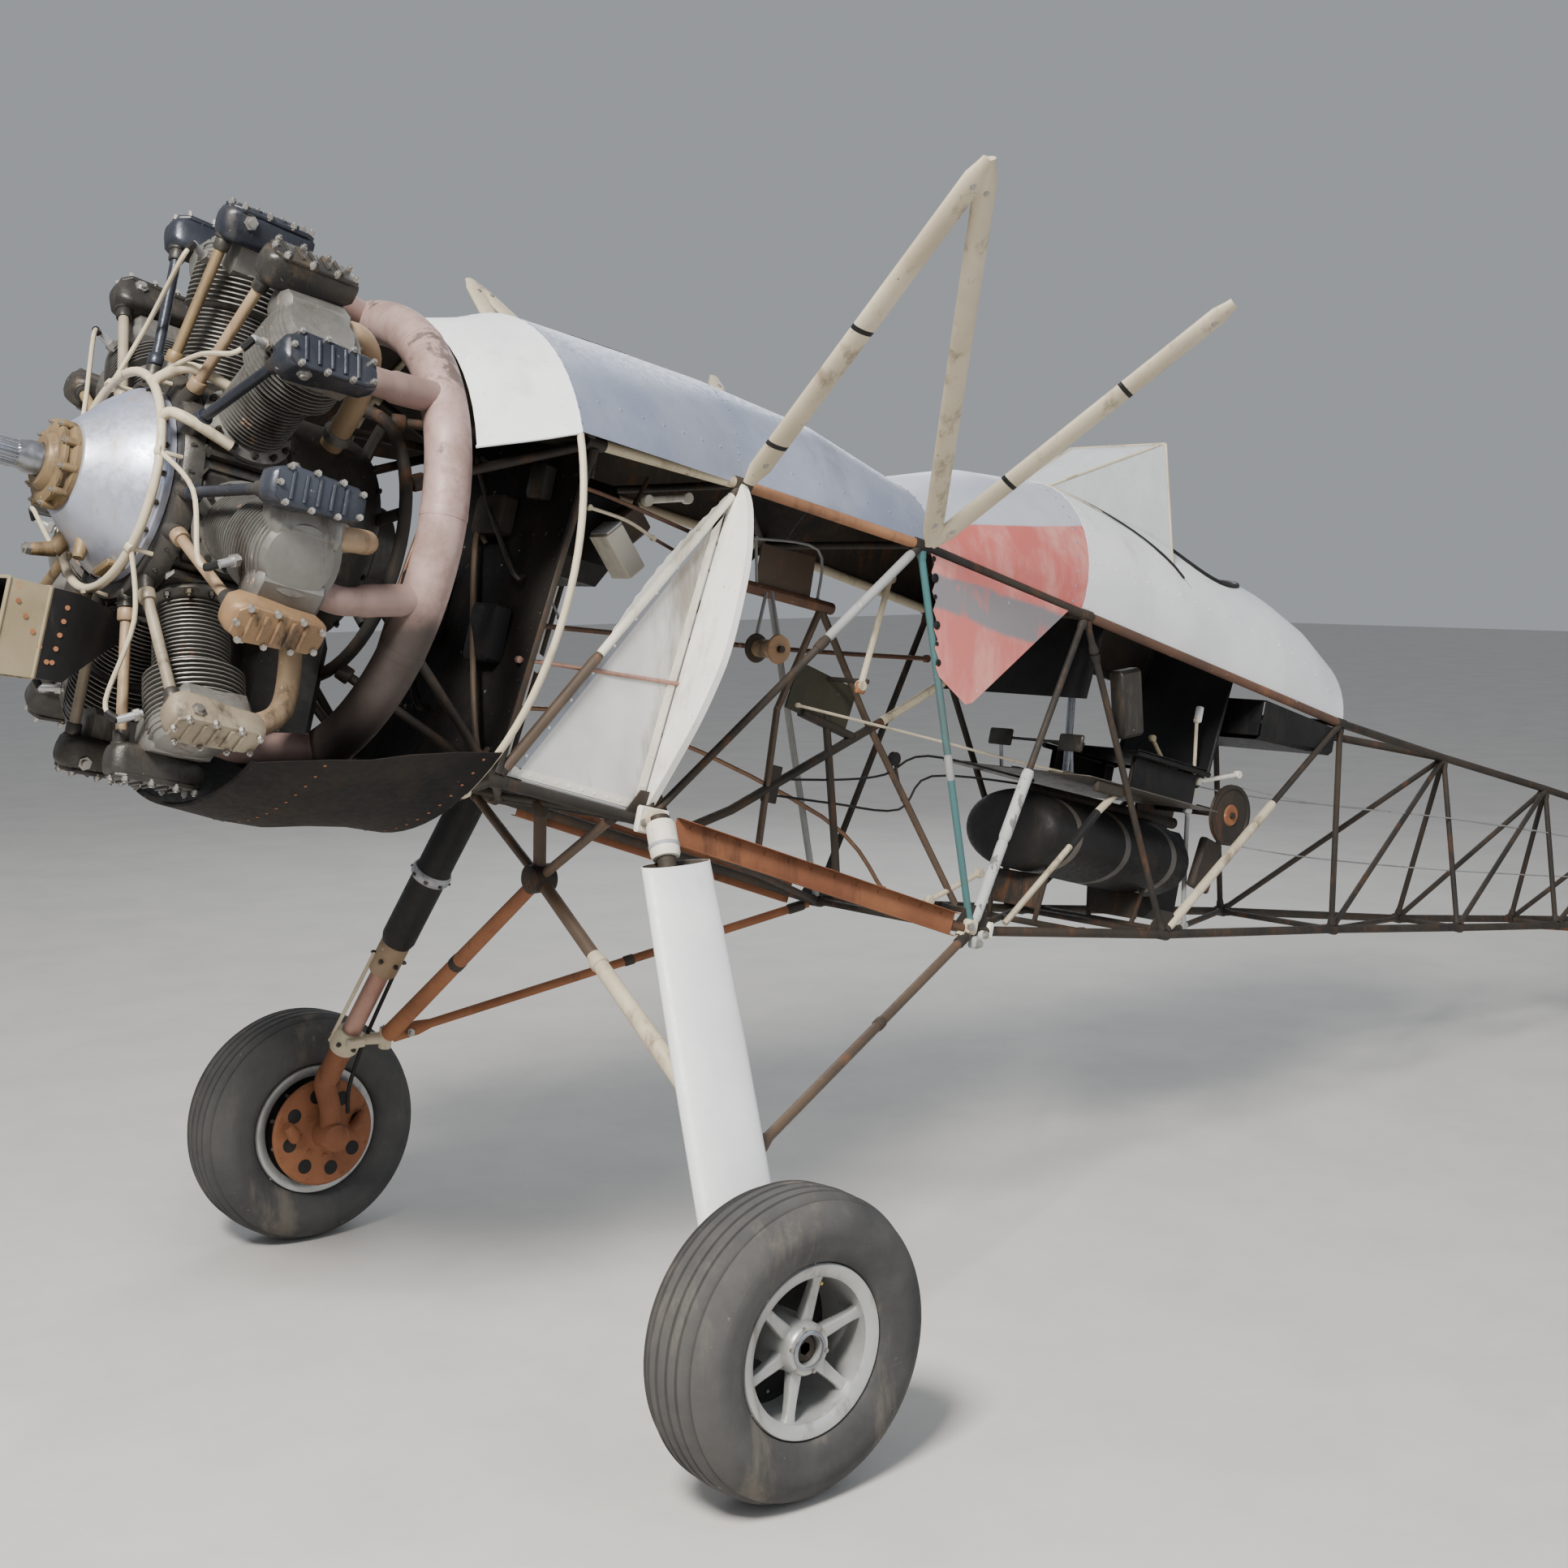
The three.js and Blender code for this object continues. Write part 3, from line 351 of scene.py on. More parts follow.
# Base, cloudy second, grime and chip tones, share of grime, roughness, and what differs from the usual
greyChips, darkChips = dict(chipBand=(0.66, 0.70)), dict(chipBand=(0.72, 0.76))
casting = dict(streakScale=18.0, relief=0.003, bump=0.6)
looks = {
    "creamTube": ((0.60, 0.525, 0.385), (0.47, 0.40, 0.285), (0.16, 0.11, 0.07), (0.20, 0.13, 0.08), 0.75,
                  0.5, dict(streakScale=14.0, chipScale=30.0)),
    "whitePaint": ((0.86, 0.87, 0.88), (0.74, 0.75, 0.77), (0.38, 0.36, 0.33), (0.30, 0.28, 0.26), 0.35, 0.42,
                   dict(chipBand=(0.72, 0.75), streakScale=5.0)),
    "creamPaint": ((0.80, 0.77, 0.68), (0.68, 0.63, 0.52), (0.22, 0.18, 0.13), (0.24, 0.19, 0.14), 0.6, 0.5,
                   dict(streakScale=7.0)),
    "silverPaint": ((0.27, 0.31, 0.42), (0.38, 0.41, 0.51), (0.15, 0.155, 0.18), (0.66, 0.66, 0.66), 0.45,
                    0.36, dict(chipBand=(0.68, 0.71), metallic=0.35, streakScale=4.0)),
    "darkFrame": ((0.026, 0.024, 0.022), (0.055, 0.042, 0.031), (0.13, 0.058, 0.028), (0.24, 0.105, 0.05),
                  0.7, 0.62, dict(chipBand=(0.68, 0.71), streakScale=16.0, specular=0.25)),
    "rustPlate": ((0.30, 0.125, 0.055), (0.20, 0.075, 0.035), (0.10, 0.045, 0.025), (0.42, 0.22, 0.12), 0.8,
                  0.75, dict(streakScale=12.0)),
    "oilyCasting": ((0.035, 0.034, 0.033), (0.075, 0.068, 0.060), (0.13, 0.095, 0.06), (0.42, 0.42, 0.42),
                    0.7, 0.42,
                    dict(greyChips, metallic=0.5, streakScale=18.0, chipScale=45.0, relief=0.004, bump=0.7)),
    "finMetal": ((0.16, 0.155, 0.145), (0.27, 0.26, 0.24), (0.08, 0.06, 0.045), (0.42, 0.26, 0.18), 0.8, 0.5,
                 dict(chipBand=(0.62, 0.68), metallic=0.6, streakScale=14.0)),
    "noseSilver": ((0.35, 0.39, 0.53), (0.53, 0.55, 0.63), (0.33, 0.25, 0.16), (0.30, 0.25, 0.18), 0.75, 0.38,
                   dict(metallic=0.55, streakScale=10.0)),
    "brownCasting": ((0.34, 0.24, 0.12), (0.20, 0.14, 0.075), (0.07, 0.05, 0.035), (0.55, 0.44, 0.26), 0.8,
                     0.55, dict(metallic=0.3, streakScale=25.0)),
    "exhaustStain": ((0.31, 0.21, 0.19), (0.21, 0.14, 0.12), (0.11, 0.072, 0.058), (0.46, 0.37, 0.33), 0.65,
                     0.6, dict(metallic=0.15, streakScale=7.0)),
    "oliveBox": ((0.28, 0.235, 0.15), (0.20, 0.155, 0.09), (0.10, 0.055, 0.03), (0.34, 0.16, 0.07), 0.8, 0.6,
                 dict(chipBand=(0.60, 0.66), streakScale=11.0)),
    "bareSteel": ((0.36, 0.38, 0.42), (0.24, 0.25, 0.28), (0.13, 0.10, 0.07), (0.55, 0.55, 0.56), 0.6, 0.32,
                  dict(metallic=0.85, streakScale=22.0)),
    "castAlloy": ((0.50, 0.51, 0.53), (0.36, 0.37, 0.39), (0.14, 0.12, 0.10), (0.62, 0.62, 0.62), 0.55, 0.40,
                  dict(metallic=0.6, streakScale=20.0)),
    "blackForm": ((0.009, 0.009, 0.010), (0.018, 0.017, 0.017), (0.045, 0.038, 0.030), (0.12, 0.105, 0.09),
                  0.45, 0.5, dict(darkChips, specular=0.22)),
    "darkOlive": ((0.040, 0.040, 0.026), (0.065, 0.058, 0.038), (0.02, 0.018, 0.014), (0.14, 0.12, 0.08), 0.6,
                  0.6, dict(specular=0.25)),
    "blueBlack": ((0.022, 0.025, 0.034), (0.045, 0.050, 0.065), (0.10, 0.085, 0.07), (0.34, 0.35, 0.38), 0.5,
                  0.34, dict(casting, chipBand=(0.66, 0.70), metallic=0.4)),
    "sunBrown": ((0.30, 0.185, 0.095), (0.17, 0.105, 0.06), (0.035, 0.028, 0.022), (0.60, 0.50, 0.36), 0.9,
                 0.5, dict(casting, metallic=0.2)),
    "creamCasting": ((0.40, 0.34, 0.25), (0.22, 0.18, 0.13), (0.045, 0.038, 0.030), (0.66, 0.62, 0.54), 0.9,
                     0.5, dict(casting, metallic=0.2)),
    "brownFrame": ((0.11, 0.075, 0.050), (0.07, 0.050, 0.036), (0.17, 0.085, 0.045), (0.26, 0.17, 0.11), 0.7,
                   0.55, dict(streakScale=18.0)),
    "rustTube": ((0.15, 0.075, 0.045), (0.085, 0.048, 0.034), (0.26, 0.12, 0.06), (0.36, 0.29, 0.22), 0.8,
                 0.68, dict(chipBand=(0.63, 0.67), streakScale=10.0)),
    "orangeTube": ((0.36, 0.175, 0.085), (0.24, 0.115, 0.06), (0.10, 0.055, 0.035), (0.46, 0.34, 0.23), 0.75,
                   0.6, {}),
    "wrapTape": ((0.50, 0.505, 0.51), (0.36, 0.365, 0.37), (0.10, 0.095, 0.085), (0.66, 0.66, 0.65), 0.8,
                 0.75, dict(grimeBand=(0.56, 0.60), streakScale=30.0, relief=0.003, bump=0.8)),
    # A brighter white that is painted sunlight on lit white parts
    "sunPaint": ((0.90, 0.89, 0.85), (0.80, 0.78, 0.71), (0.30, 0.26, 0.20), (0.26, 0.21, 0.15), 0.45, 0.45,
                 dict(chipBand=(0.64, 0.67), streakScale=12.0)),
    # Blue-grey that is painted shade on white and cream parts
    "shadeGrey": ((0.36, 0.38, 0.42), (0.27, 0.285, 0.32), (0.10, 0.09, 0.08), (0.52, 0.52, 0.52), 0.5, 0.6,
                  {}),
    "tealTube": ((0.055, 0.16, 0.165), (0.075, 0.12, 0.12), (0.10, 0.06, 0.035), (0.30, 0.31, 0.29), 0.6, 0.5,
                 dict(streakScale=12.0)),
    "greyTube": ((0.34, 0.345, 0.34), (0.24, 0.24, 0.235), (0.10, 0.075, 0.05), (0.46, 0.46, 0.46), 0.6, 0.6,
                 dict(streakScale=12.0)),
    # Near-black for soot, also standing in as painted shade on the lower cowl and the firewall
    "sootyCowl": ((0.012, 0.012, 0.013), (0.026, 0.023, 0.021), (0.05, 0.035, 0.026), (0.32, 0.31, 0.30), 0.5,
                  0.70, dict(greyChips, specular=0.10)),
    # Greyed, heavily grimed white for the side panels: dirt, and painted shade
    "dirtyPanel": ((0.66, 0.66, 0.65), (0.52, 0.51, 0.49), (0.20, 0.17, 0.13), (0.30, 0.22, 0.15), 0.8, 0.5,
                   dict(streakScale=6.0)),
    "woodStrip": ((0.32, 0.19, 0.10), (0.21, 0.12, 0.065), (0.10, 0.06, 0.035), (0.44, 0.31, 0.19), 0.6, 0.65,
                  dict(streakScale=20.0, stretch=(0.15, 1, 1))),
    "tankStrap": ((0.10, 0.095, 0.09), (0.16, 0.14, 0.12), (0.17, 0.10, 0.06), (0.34, 0.33, 0.31), 0.6, 0.45,
                  dict(metallic=0.5)),
    "tanTube": ((0.40, 0.285, 0.175), (0.25, 0.17, 0.105), (0.085, 0.06, 0.04), (0.60, 0.52, 0.40), 0.85, 0.5,
                dict(metallic=0.15, streakScale=16.0)),
    "nutSteel": ((0.44, 0.43, 0.41), (0.30, 0.28, 0.25), (0.16, 0.11, 0.07), (0.58, 0.57, 0.55), 0.6, 0.36,
                 dict(metallic=0.75, streakScale=40.0)),
    "yellowValve": ((0.66, 0.50, 0.10), (0.52, 0.38, 0.07), (0.2, 0.14, 0.05), (0.3, 0.26, 0.18), 0.4, 0.5,
                    {}),
    "wheelCast": ((0.50, 0.51, 0.50), (0.37, 0.37, 0.36), (0.13, 0.11, 0.09), (0.66, 0.66, 0.65), 0.65, 0.42,
                  dict(greyChips, metallic=0.45, streakScale=14.0, relief=0.0025)),
    "tyreRubber": ((0.050, 0.050, 0.051), (0.090, 0.088, 0.085), (0.19, 0.165, 0.135), (0.14, 0.135, 0.13),
                   0.55, 0.85, dict(streakScale=8.0, specular=0.25)),
    "pinkRust": ((0.42, 0.25, 0.20), (0.33, 0.18, 0.14), (0.16, 0.08, 0.05), (0.58, 0.50, 0.46), 0.6, 0.42,
                 dict(metallic=0.4, streakScale=16.0)),
    "copperPipe": ((0.33, 0.19, 0.12), (0.20, 0.12, 0.08), (0.09, 0.065, 0.045), (0.50, 0.34, 0.22), 0.6,
                   0.45, dict(metallic=0.6)),
}
finishes = {name: wornPaint(name, *row[:-1], **row[-1]) for name, row in looks.items()}
flatStretch = (1, 1, 0.4)


# Mid cowl: silver above, faded red on the port flank below a level edge
def midCowlPaint(finish):
    _, y, z = finish.axes()
    cloud, streak = finish.noise(3.0), finish.noise(6.0, 5, 0.68, flatStretch, 1.7)
    silver = finish.blend(finish.band(cloud, 0.34, 0.68), (0.42, 0.46, 0.55), (0.54, 0.56, 0.62))
    red = finish.blend(finish.band(streak, 0.40, 0.66), (0.60, 0.15, 0.13), (0.70, 0.33, 0.29))
    edge = finish.band(z + (cloud * 0.02), 1.999, 1.993)
    tone = finish.blend(edge * finish.band(y, 0.0, -0.01), silver, red)
    chips = finish.band(finish.noise(24.0, 6, 0.75, shift=5.3), 0.68, 0.71)
    finish.dress(cloud, 0.0012, Base_Color=finish.blend(chips, tone, (0.66, 0.65, 0.64)),
                 Roughness=finish.band(streak, 0.3, 0.7, 0.34, 0.5), Metallic=0.2)


# Exhaust ring: stained tan metal above, black painted shade over its lower part and in patches
def ringSoot(finish):
    _, _, z = finish.axes()
    streak = finish.noise(9.0, 5, 0.68, shift=1.7)
    tone = finish.blend(finish.band(streak, 0.35, 0.65), (0.36, 0.25, 0.23), (0.23, 0.15, 0.13))
    # Painted shade: the ring turns black towards the bottom and in noise patches
    low = finish.band(z + (finish.noise(3.5) * 0.16), 1.92, 1.84)
    shadePatches = finish.band(finish.noise(4.6, 5, 0.7, shift=4.1), 0.56, 0.61)
    paintedShade = low.maths("MAXIMUM", low, shadePatches * 0.75) * 0.9
    finish.dress(streak, 0.0025, 0.6, Base_Color=finish.blend(paintedShade, tone, (0.030, 0.024, 0.021)),
                 Roughness=finish.band(streak, 0.3, 0.7, 0.5, 0.75), Metallic=0.1)


# Side plate: faded red, a grey smear across its upper third and a dark torn front edge
def platePaint(finish):
    x, _, z = finish.axes()
    cloud, streak = finish.noise(4.0), finish.noise(6.0, 5, 0.68, flatStretch, 1.7)
    middle = fus(1.3, 0, 0.272)
    away = (x * sinNose) + (z * cosNose) - (middle.x * sinNose + middle.z * cosNose) + (cloud - 0.5) * 0.06
    tone = finish.blend(finish.band(streak, 0.40, 0.66), (0.60, 0.17, 0.15), (0.70, 0.31, 0.27))
    smear = finish.band(away.maths("ABSOLUTE", away), 0.056, 0.040) * finish.band(streak, 0.30, 0.42)
    tone = finish.blend(smear * 0.92, tone, (0.20, 0.215, 0.23))
    chips = finish.band(finish.noise(26.0, 6, 0.75, shift=5.3), 0.66, 0.69)
    finish.dress(cloud, 0.002, 0.6, Base_Color=finish.blend(chips, tone, (0.60, 0.57, 0.55)), Roughness=0.55)


# Hazy acrylic: nearly clear with grey scuffs
def hazyPane(finish):
    haze = finish.band(finish.noise(7.0, 6, 0.7, (1, 1, 0.6)), 0.3, 0.75, 0.42, 0.72)
    finish.dress(Base_Color=(0.60, 0.63, 0.64), Roughness=finish.band(haze, 0.3, 0.6, 0.12, 0.4), Alpha=haze,
                 Specular_IOR_Level=0.6)


for paint in (midCowlPaint, ringSoot, platePaint, hazyPane):
    finish = Finish(paint.__name__)
    paint(finish)
    finishes[paint.__name__] = finish.material


# Fins, nuts and rivets: a geometry node group sets a short prism on each point
class Pattern(Graph):
    def __init__(self, name, inlets):
        tree = bpy.data.node_groups.new(name, "GeometryNodeTree")
        super().__init__(tree, "GeometryNode")
        self.ends = {label: tree.interface.new_socket(label, in_out="INPUT", socket_type=f"NodeSocket{kind}")
                     for label, kind in inlets.items()}
        tree.interface.new_socket("Geometry", in_out="OUTPUT", socket_type="NodeSocketGeometry")
        self.source = tree.nodes.new("NodeGroupInput")
        self.drain = tree.nodes.new("NodeGroupOutput")

    def inlet(self, label):
        return Wire(self.tree, self.source.outputs[label])


def prismPattern(name, cored):
    pattern = Pattern(name, {"Points": "Geometry", "Sides": "Int", "Finish": "Material"})

    def named(label):
        return pattern.node("InputNamedAttribute", {"data_type": "FLOAT_VECTOR"}, {"Name": label})

    def facing(axis, label, **more):
        return pattern.node("AlignRotationToVector", {"axis": axis, **more.get("settings", {})},
                            {"Vector": named(label), **more.get("values", {})}, prefix="FunctionNode")

    shape = pattern.node("MeshCylinder",
                         values={"Vertices": pattern.inlet("Sides"), "Radius": 1.0, "Depth": 1.0})
    if cored:
        both = pattern.node("JoinGeometry")
        core = pattern.node("MeshCylinder", values={"Vertices": 10, "Radius": 0.55, "Depth": 1.9})
        core.feed(both.socket.node.inputs[0])
        shape.feed(both.socket.node.inputs[0])
        shape = both
    turned = facing("X", "side", settings={"pivot_axis": "Z"}, values={"Rotation": facing("Z", "aim")})
    spread = pattern.node("InstanceOnPoints", values={"Points": pattern.inlet("Points"), "Instance": shape,
                                                      "Rotation": turned, "Scale": named("spread")})
    solid = pattern.node("RealizeInstances", values={"Geometry": spread})
    painted = pattern.node("SetMaterial", values={"Geometry": solid, "Material": pattern.inlet("Finish")})
    painted.feed(pattern.drain.inputs[0])
    return pattern


plain, cored = prismPattern("plainPrisms", False), prismPattern("coredPrisms", True)
hardware = {}
# Kind: node group, sides, look and slot
hardwareKinds = {"nut": (cored, 6, "nutSteel", "steel"), "darkNut": (cored, 6, "oilyCasting", "alloy"),
                 "rivet": (plain, 8, "whitePaint", "white"),
                 "silverRivet": (plain, 8, "silverPaint", "silver"),
                 "redRivet": (plain, 8, "platePaint", "red"), "rustRivet": (plain, 8, "rustPlate", "rust"),
                 "fin": (plain, 30, "finMetal", "alloy")}


def stud(kind, place, aim, radius, height, side=None, wide=None, body="airframe"):
    side = side or aim.cross(Vector((0.37, 0.81, 0.45))).normalized()
    hardware.setdefault((kind, body), []).append((place, aim, side, (radius, wide or radius, height)))


def placeHardware(kind, body, rows):
    pattern, sides, look, slot = hardwareKinds[kind]
    name = f"{kind}s_{body}"
    points = bpy.data.meshes.new(name + "_points")
    points.from_pydata([tuple(row[0]) for row in rows], [], [])
    for column, label in ((1, "aim"), (2, "side"), (3, "spread")):
        attribute = points.attributes.new(label, "FLOAT_VECTOR", "POINT")
        attribute.data.foreach_set("vector", [value for row in rows for value in row[column]])
    holder = bpy.data.objects.new(name + "_points", points)
    collection.objects.link(holder)
    modifier = holder.modifiers.new("prisms", "NODES")
    modifier.node_group = pattern.tree
    modifier[pattern.ends["Sides"].identifier] = sides
    modifier[pattern.ends["Finish"].identifier] = finishes[look]
    mesh = bpy.data.meshes.new_from_object(holder.evaluated_get(bpy.context.evaluated_depsgraph_get()))
    bpy.data.objects.remove(holder)
    mesh.polygons.foreach_set("use_smooth", [True] * len(mesh.polygons))
    mesh.set_sharp_from_angle(angle=radians(35))
    piece = bpy.data.objects.new(name, mesh)
    collection.objects.link(piece)
    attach(piece, body)
    print(name, len(rows), "placed")


# engine
engine = {"cylinders": 7, "station": -0.765, "rockerFront": -0.885, "rockerRadius": 0.589,
          "rockerAngle": 12.4, "barrelFins": 15, "headFins": 13}
# Looks of the rocker boxes and of the two pushrods of each cylinder, first the top one
cylinderLooks = [("blueBlack", "brownCasting", "blueBlack"), ("blueBlack", "blueBlack", "tanTube"),
                 ("blueBlack", "tanTube", "blueBlack"), ("creamCasting", "tanTube", "creamCasting"),
                 ("oilyCasting", "brownCasting", "creamCasting"),
                 ("oilyCasting", "creamCasting", "brownCasting"),
                 ("oilyCasting", "creamCasting", "brownCasting")]
rockerLooks = {(1, 1): "oilyCasting", (2, -1): "sunBrown", (3, -1): "oilyCasting"}
# Rings of a rocker box: distance behind its front end, half width, low, high, corner
rockerRings = [(0, 0.018, -0.02, 0.016, 0.012), (0.008, 0.030, -0.034, 0.026, 0.014),
               (0.028, 0.037, -0.042, 0.033, 0.014), (0.075, 0.036, -0.040, 0.034, 0.014),
               (0.13, 0.031, -0.034, 0.031, 0.014), (0.185, 0.030, -0.030, 0.028, 0.014),
               (0.201, 0.024, -0.022, 0.022, 0.014), (0.205, 0.014, -0.012, 0.014, 0.010)]
coverRings = [(x, wide, lift - 0.006, lift + 0.0055, 0.004) for x, wide, lift in
              ((0.012, 0.024, 0.029), (0.03, 0.0395, 0.030), (0.175, 0.033, 0.028), (0.195, 0.022, 0.024))]
coverNuts = [(x, side * y) for x, y in ((0.03, 0.034), (0.085, 0.036), (0.14, 0.033), (0.185, 0.022))
             for side in (-1, 1)]


def rocker(piece, k, place, side, at, out):
    boxLook, *rodLooks = cylinderLooks[k]
    look = rockerLooks.get((k, side), boxLook)
    front, tilt = engine["rockerFront"], radians(engine["rockerAngle"]) * side
    offset, height = engine["rockerRadius"] * sin(tilt), engine["rockerRadius"] * cos(tilt)
    normal = Vector((0, sin(tilt * 1.3), cos(tilt * 1.3)))
    across = Vector((0, normal.z, -normal.y))

    def onBox(x, y, z):
        return place @ (Vector((front + x, offset, height - 0.012)) + across * y + normal * z)

    for rows in (rockerRings, coverRings):
        piece.rings([[onBox(x, y, z + (high + low) / 2) for y, z in outline(wide, (high - low) / 2, corner)]
                     for x, wide, low, high, corner in rows], look)
    for rib in range(5):
        piece.bar(*(onBox(0.04 + rib * 0.028, y, 0.036) for y in (-0.026, 0.026)), 0.0042, look, sides=8)
    for x, y in coverNuts + [(0.014, 0)]:
        stud("nut", onBox(x, y, 0.036), (place.to_3x3() @ normal).normalized(), 0.0068, 0.009)
    hub = place @ Vector((front + 0.05, offset + side * 0.036, height - 0.012))
    stud("nut", hub, (place.to_3x3() @ (across * side)).normalized(), 0.015, 0.014)
    saddle = Matrix.Translation((engine["station"] + 0.004, offset * 0.55, height - 0.062))
    piece.block(place @ saddle @ Matrix.Rotation(-tilt * 1.6, 4, "X"), (0, 0, 0), (0.15, 0.086, 0.075),
                "finMetal", 0.012)
    foot, head = at(-0.885, offset * 0.34, 0.262), at(front + 0.026, offset * 0.93, height - 0.03)
    rodLook = rodLooks[side > 0]
    piece.bar(foot, head, 0.0115, rodLook, sides=14)
    for share, radius, length, ringLook in ((0.04, 0.018, 0.026, rodLook),
                                            (0.90, 0.0165, 0.03, "oilyCasting"),
                                            (0.965, 0.020, 0.022, "oilyCasting")):
        piece.collar(foot, head, share, radius, length, ringLook)
    plug = at(engine["station"] + side * 0.088, side * 0.034, 0.492)
    plugAim = (at(side * 0.9, side * 0.35, 0.35) - at(0, 0, 0)).normalized()
    piece.bar(plug, plug + plugAim * 0.052, 0.0085, "castAlloy", sides=10)
    stud("nut", plug + plugAim * 0.012, plugAim, 0.0135, 0.012)
    if side < 0:
        lead = curved([plug + plugAim * 0.05, plug + plugAim * 0.075 - out * 0.05, at(-0.915, 0.055, 0.34),
                       at(-0.945, 0.1, 0.205)])
        piece.tube(lead, 0.0052, "creamTube", 8)
        piece.tube(lead[:5], 0.0085, "blackForm", 8)


def cylinderPiece(k):
    place = alongThrust @ turnX(k * 360 / engine["cylinders"])
    piece = Shape(f"cylinder_{k + 1}", "alloy", 40)
    middle = engine["station"]

    def at(x, y, z):
        return place @ Vector((x, y, z))

    out, ahead = ((at(*axis) - at(0, 0, 0)).normalized() for axis in ((0, 0, 1), (-1, 0, 0)))
    upright = place @ Matrix.Translation((middle, 0, 0)) @ Matrix.Rotation(-pi / 2, 4, "Y")
    piece.lathe([(0, 0.24), (0.094, 0.24), (0.096, 0.25), (0.082, 0.254), (0.064, 0.262), (0.064, 0.40),
                 (0.080, 0.412), (0.084, 0.52), (0.070, 0.556), (0, 0.566)], upright, "finMetal", 28)
    for turn in turns(12):
        stud("darkNut", at(middle + 0.087 * cos(turn), 0.087 * sin(turn), 0.257), out, 0.007, 0.01)
    for fin in range(engine["barrelFins"]):
        stud("fin", at(middle, 0, 0.268 + 0.0092 * fin), out, 0.078, 0.0022, side=ahead)
    for fin in range(engine["headFins"]):
        share = fin / (engine["headFins"] - 1)
        stud("fin", at(middle + 0.006, 0, 0.412 + 0.0105 * fin), out, 0.102 - 0.016 * share ** 2, 0.0024,
             ahead, 0.101 + 0.006 * sin(3 * share))
    for side in (-1, 1):
        rocker(piece, k, place, side, at, out)
    intake = curved([at(*spot) for spot in ((-0.715, 0.05, 0.50), (-0.66, 0.062, 0.515), (-0.60, 0.062, 0.47),
                                            (-0.57, 0.05, 0.36), (-0.56, 0.04, 0.235))])
    piece.tube(intake, 0.0245, "tanTube", 16)
    piece.collar(intake[0], intake[4], 0.35, 0.031, 0.018, "finMetal")
    piece.collar(intake[-5], intake[-1], 0.6, 0.032, 0.022, "finMetal")
    pipe = curved([at(*spot)
                   for spot in ((-0.715, -0.05, 0.50), (-0.64, -0.058, 0.515), (-0.56, -0.04, 0.505),
                                (-0.475, -0.02, 0.497))])
    piece.tube(pipe, [0.029] * 10 + [0.033] * (len(pipe) - 10), "exhaustStain", 16)
    piece.collar(pipe[0], pipe[5], 0.3, 0.038, 0.016, "finMetal")


for k in range(engine["cylinders"]):
    cylinderPiece(k)
print("cylinders")

crank = Shape("crankcase", "alloy")
crank.lathe([(0, -0.330), (0.10, -0.330), (0.108, -0.338), (0.118, -0.42), (0.205, -0.432), (0.215, -0.44),
             (0.215, -0.452), (0.228, -0.458), (0.230, -0.52), (0.238, -0.528), (0.238, -0.640),
             (0.246, -0.652), (0.246, -0.668), (0.236, -0.68), (0.236, -0.852), (0.249, -0.86),
             (0.249, -0.882), (0.238, -0.899), (0, -0.899)], alongThrust, "oilyCasting", 56)
for k in range(engine["cylinders"]):
    pad, lug = (alongThrust @ turnX((k + half) * 360 / engine["cylinders"]) for half in (0, 0.5))
    crank.block(pad, (engine["station"], 0, 0.232), (0.198, 0.196, 0.014), "oilyCasting", 0.012)
    crank.bar(lug @ Vector((-0.446, 0, 0.14)), lug @ Vector((-0.434, 0, 0.286)), 0.016, "oilyCasting", 0.012)
    for y in (-0.043, 0.043):
        crank.bar(pad @ Vector((-0.885, y, 0.225)), pad @ Vector((-0.885, y, 0.262)), 0.020, "oilyCasting",
                  0.017, 14)
for ring, station, count in ((0.2425, -0.884, 28), (0.24, -0.66, 28), (0.218, -0.445, 21)):
    for turn in turns(count, 0.5):
        stud("darkNut", onRing(station, ring, turn), aimed(0, sin(turn), cos(turn)), 0.0065, 0.010)
sump = alongThrust @ Matrix.Translation((-0.52, 0, -0.33))
crank.block(sump, (0, 0, -0.01), (0.186, 0.188, 0.30), "oilyCasting", 0.022)
crank.block(sump, (0, 0, -0.158), (0.196, 0.198, 0.018), "oilyCasting", 0.006)
for y in (-0.098, 0.098):
    for x in (-0.07, 0, 0.07):
        stud("nut", sump @ Vector((x, y * 0.92, -0.166)), -upward, 0.008, 0.01)

nose = Shape("nose_case", "alloy")
nose.lathe([(0.030, -0.905), (0.2045, -0.9005), (0.2045, -0.914), (0.199, -0.917), (0.1995, -0.925),
            (0.193, -0.937), (0.184, -0.949), (0.172, -0.966), (0.158, -0.982), (0.140, -0.999),
            (0.120, -1.018), (0.104, -1.034), (0.098, -1.041), (0.088, -1.043), (0.030, -1.044)], alongThrust,
           "noseSilver", 64)
nose.lathe([(0.0352, -1.04), (0.0905, -1.043), (0.0915, -1.047), (0.0915, -1.054), (0.086, -1.057),
            (0.080, -1.060), (0.080, -1.066), (0.084, -1.068), (0.084, -1.0745), (0.079, -1.078),
            (0.060, -1.079), (0.056, -1.088), (0.050, -1.0945), (0.0352, -1.0945)], alongThrust,
           "brownCasting", 48)
for turn in turns(10, 0.3):
    nose.bar(onRing(-1.05, 0.086, turn), onRing(-1.076, 0.086, turn), 0.0085, "brownCasting", sides=10)
    stud("nut", onRing(-1.0785, 0.0855, turn), forward, 0.0052, 0.007)
for turn in turns(21):
    stud("darkNut", onRing(-0.923, 0.1985, turn), forward, 0.0066, 0.010)
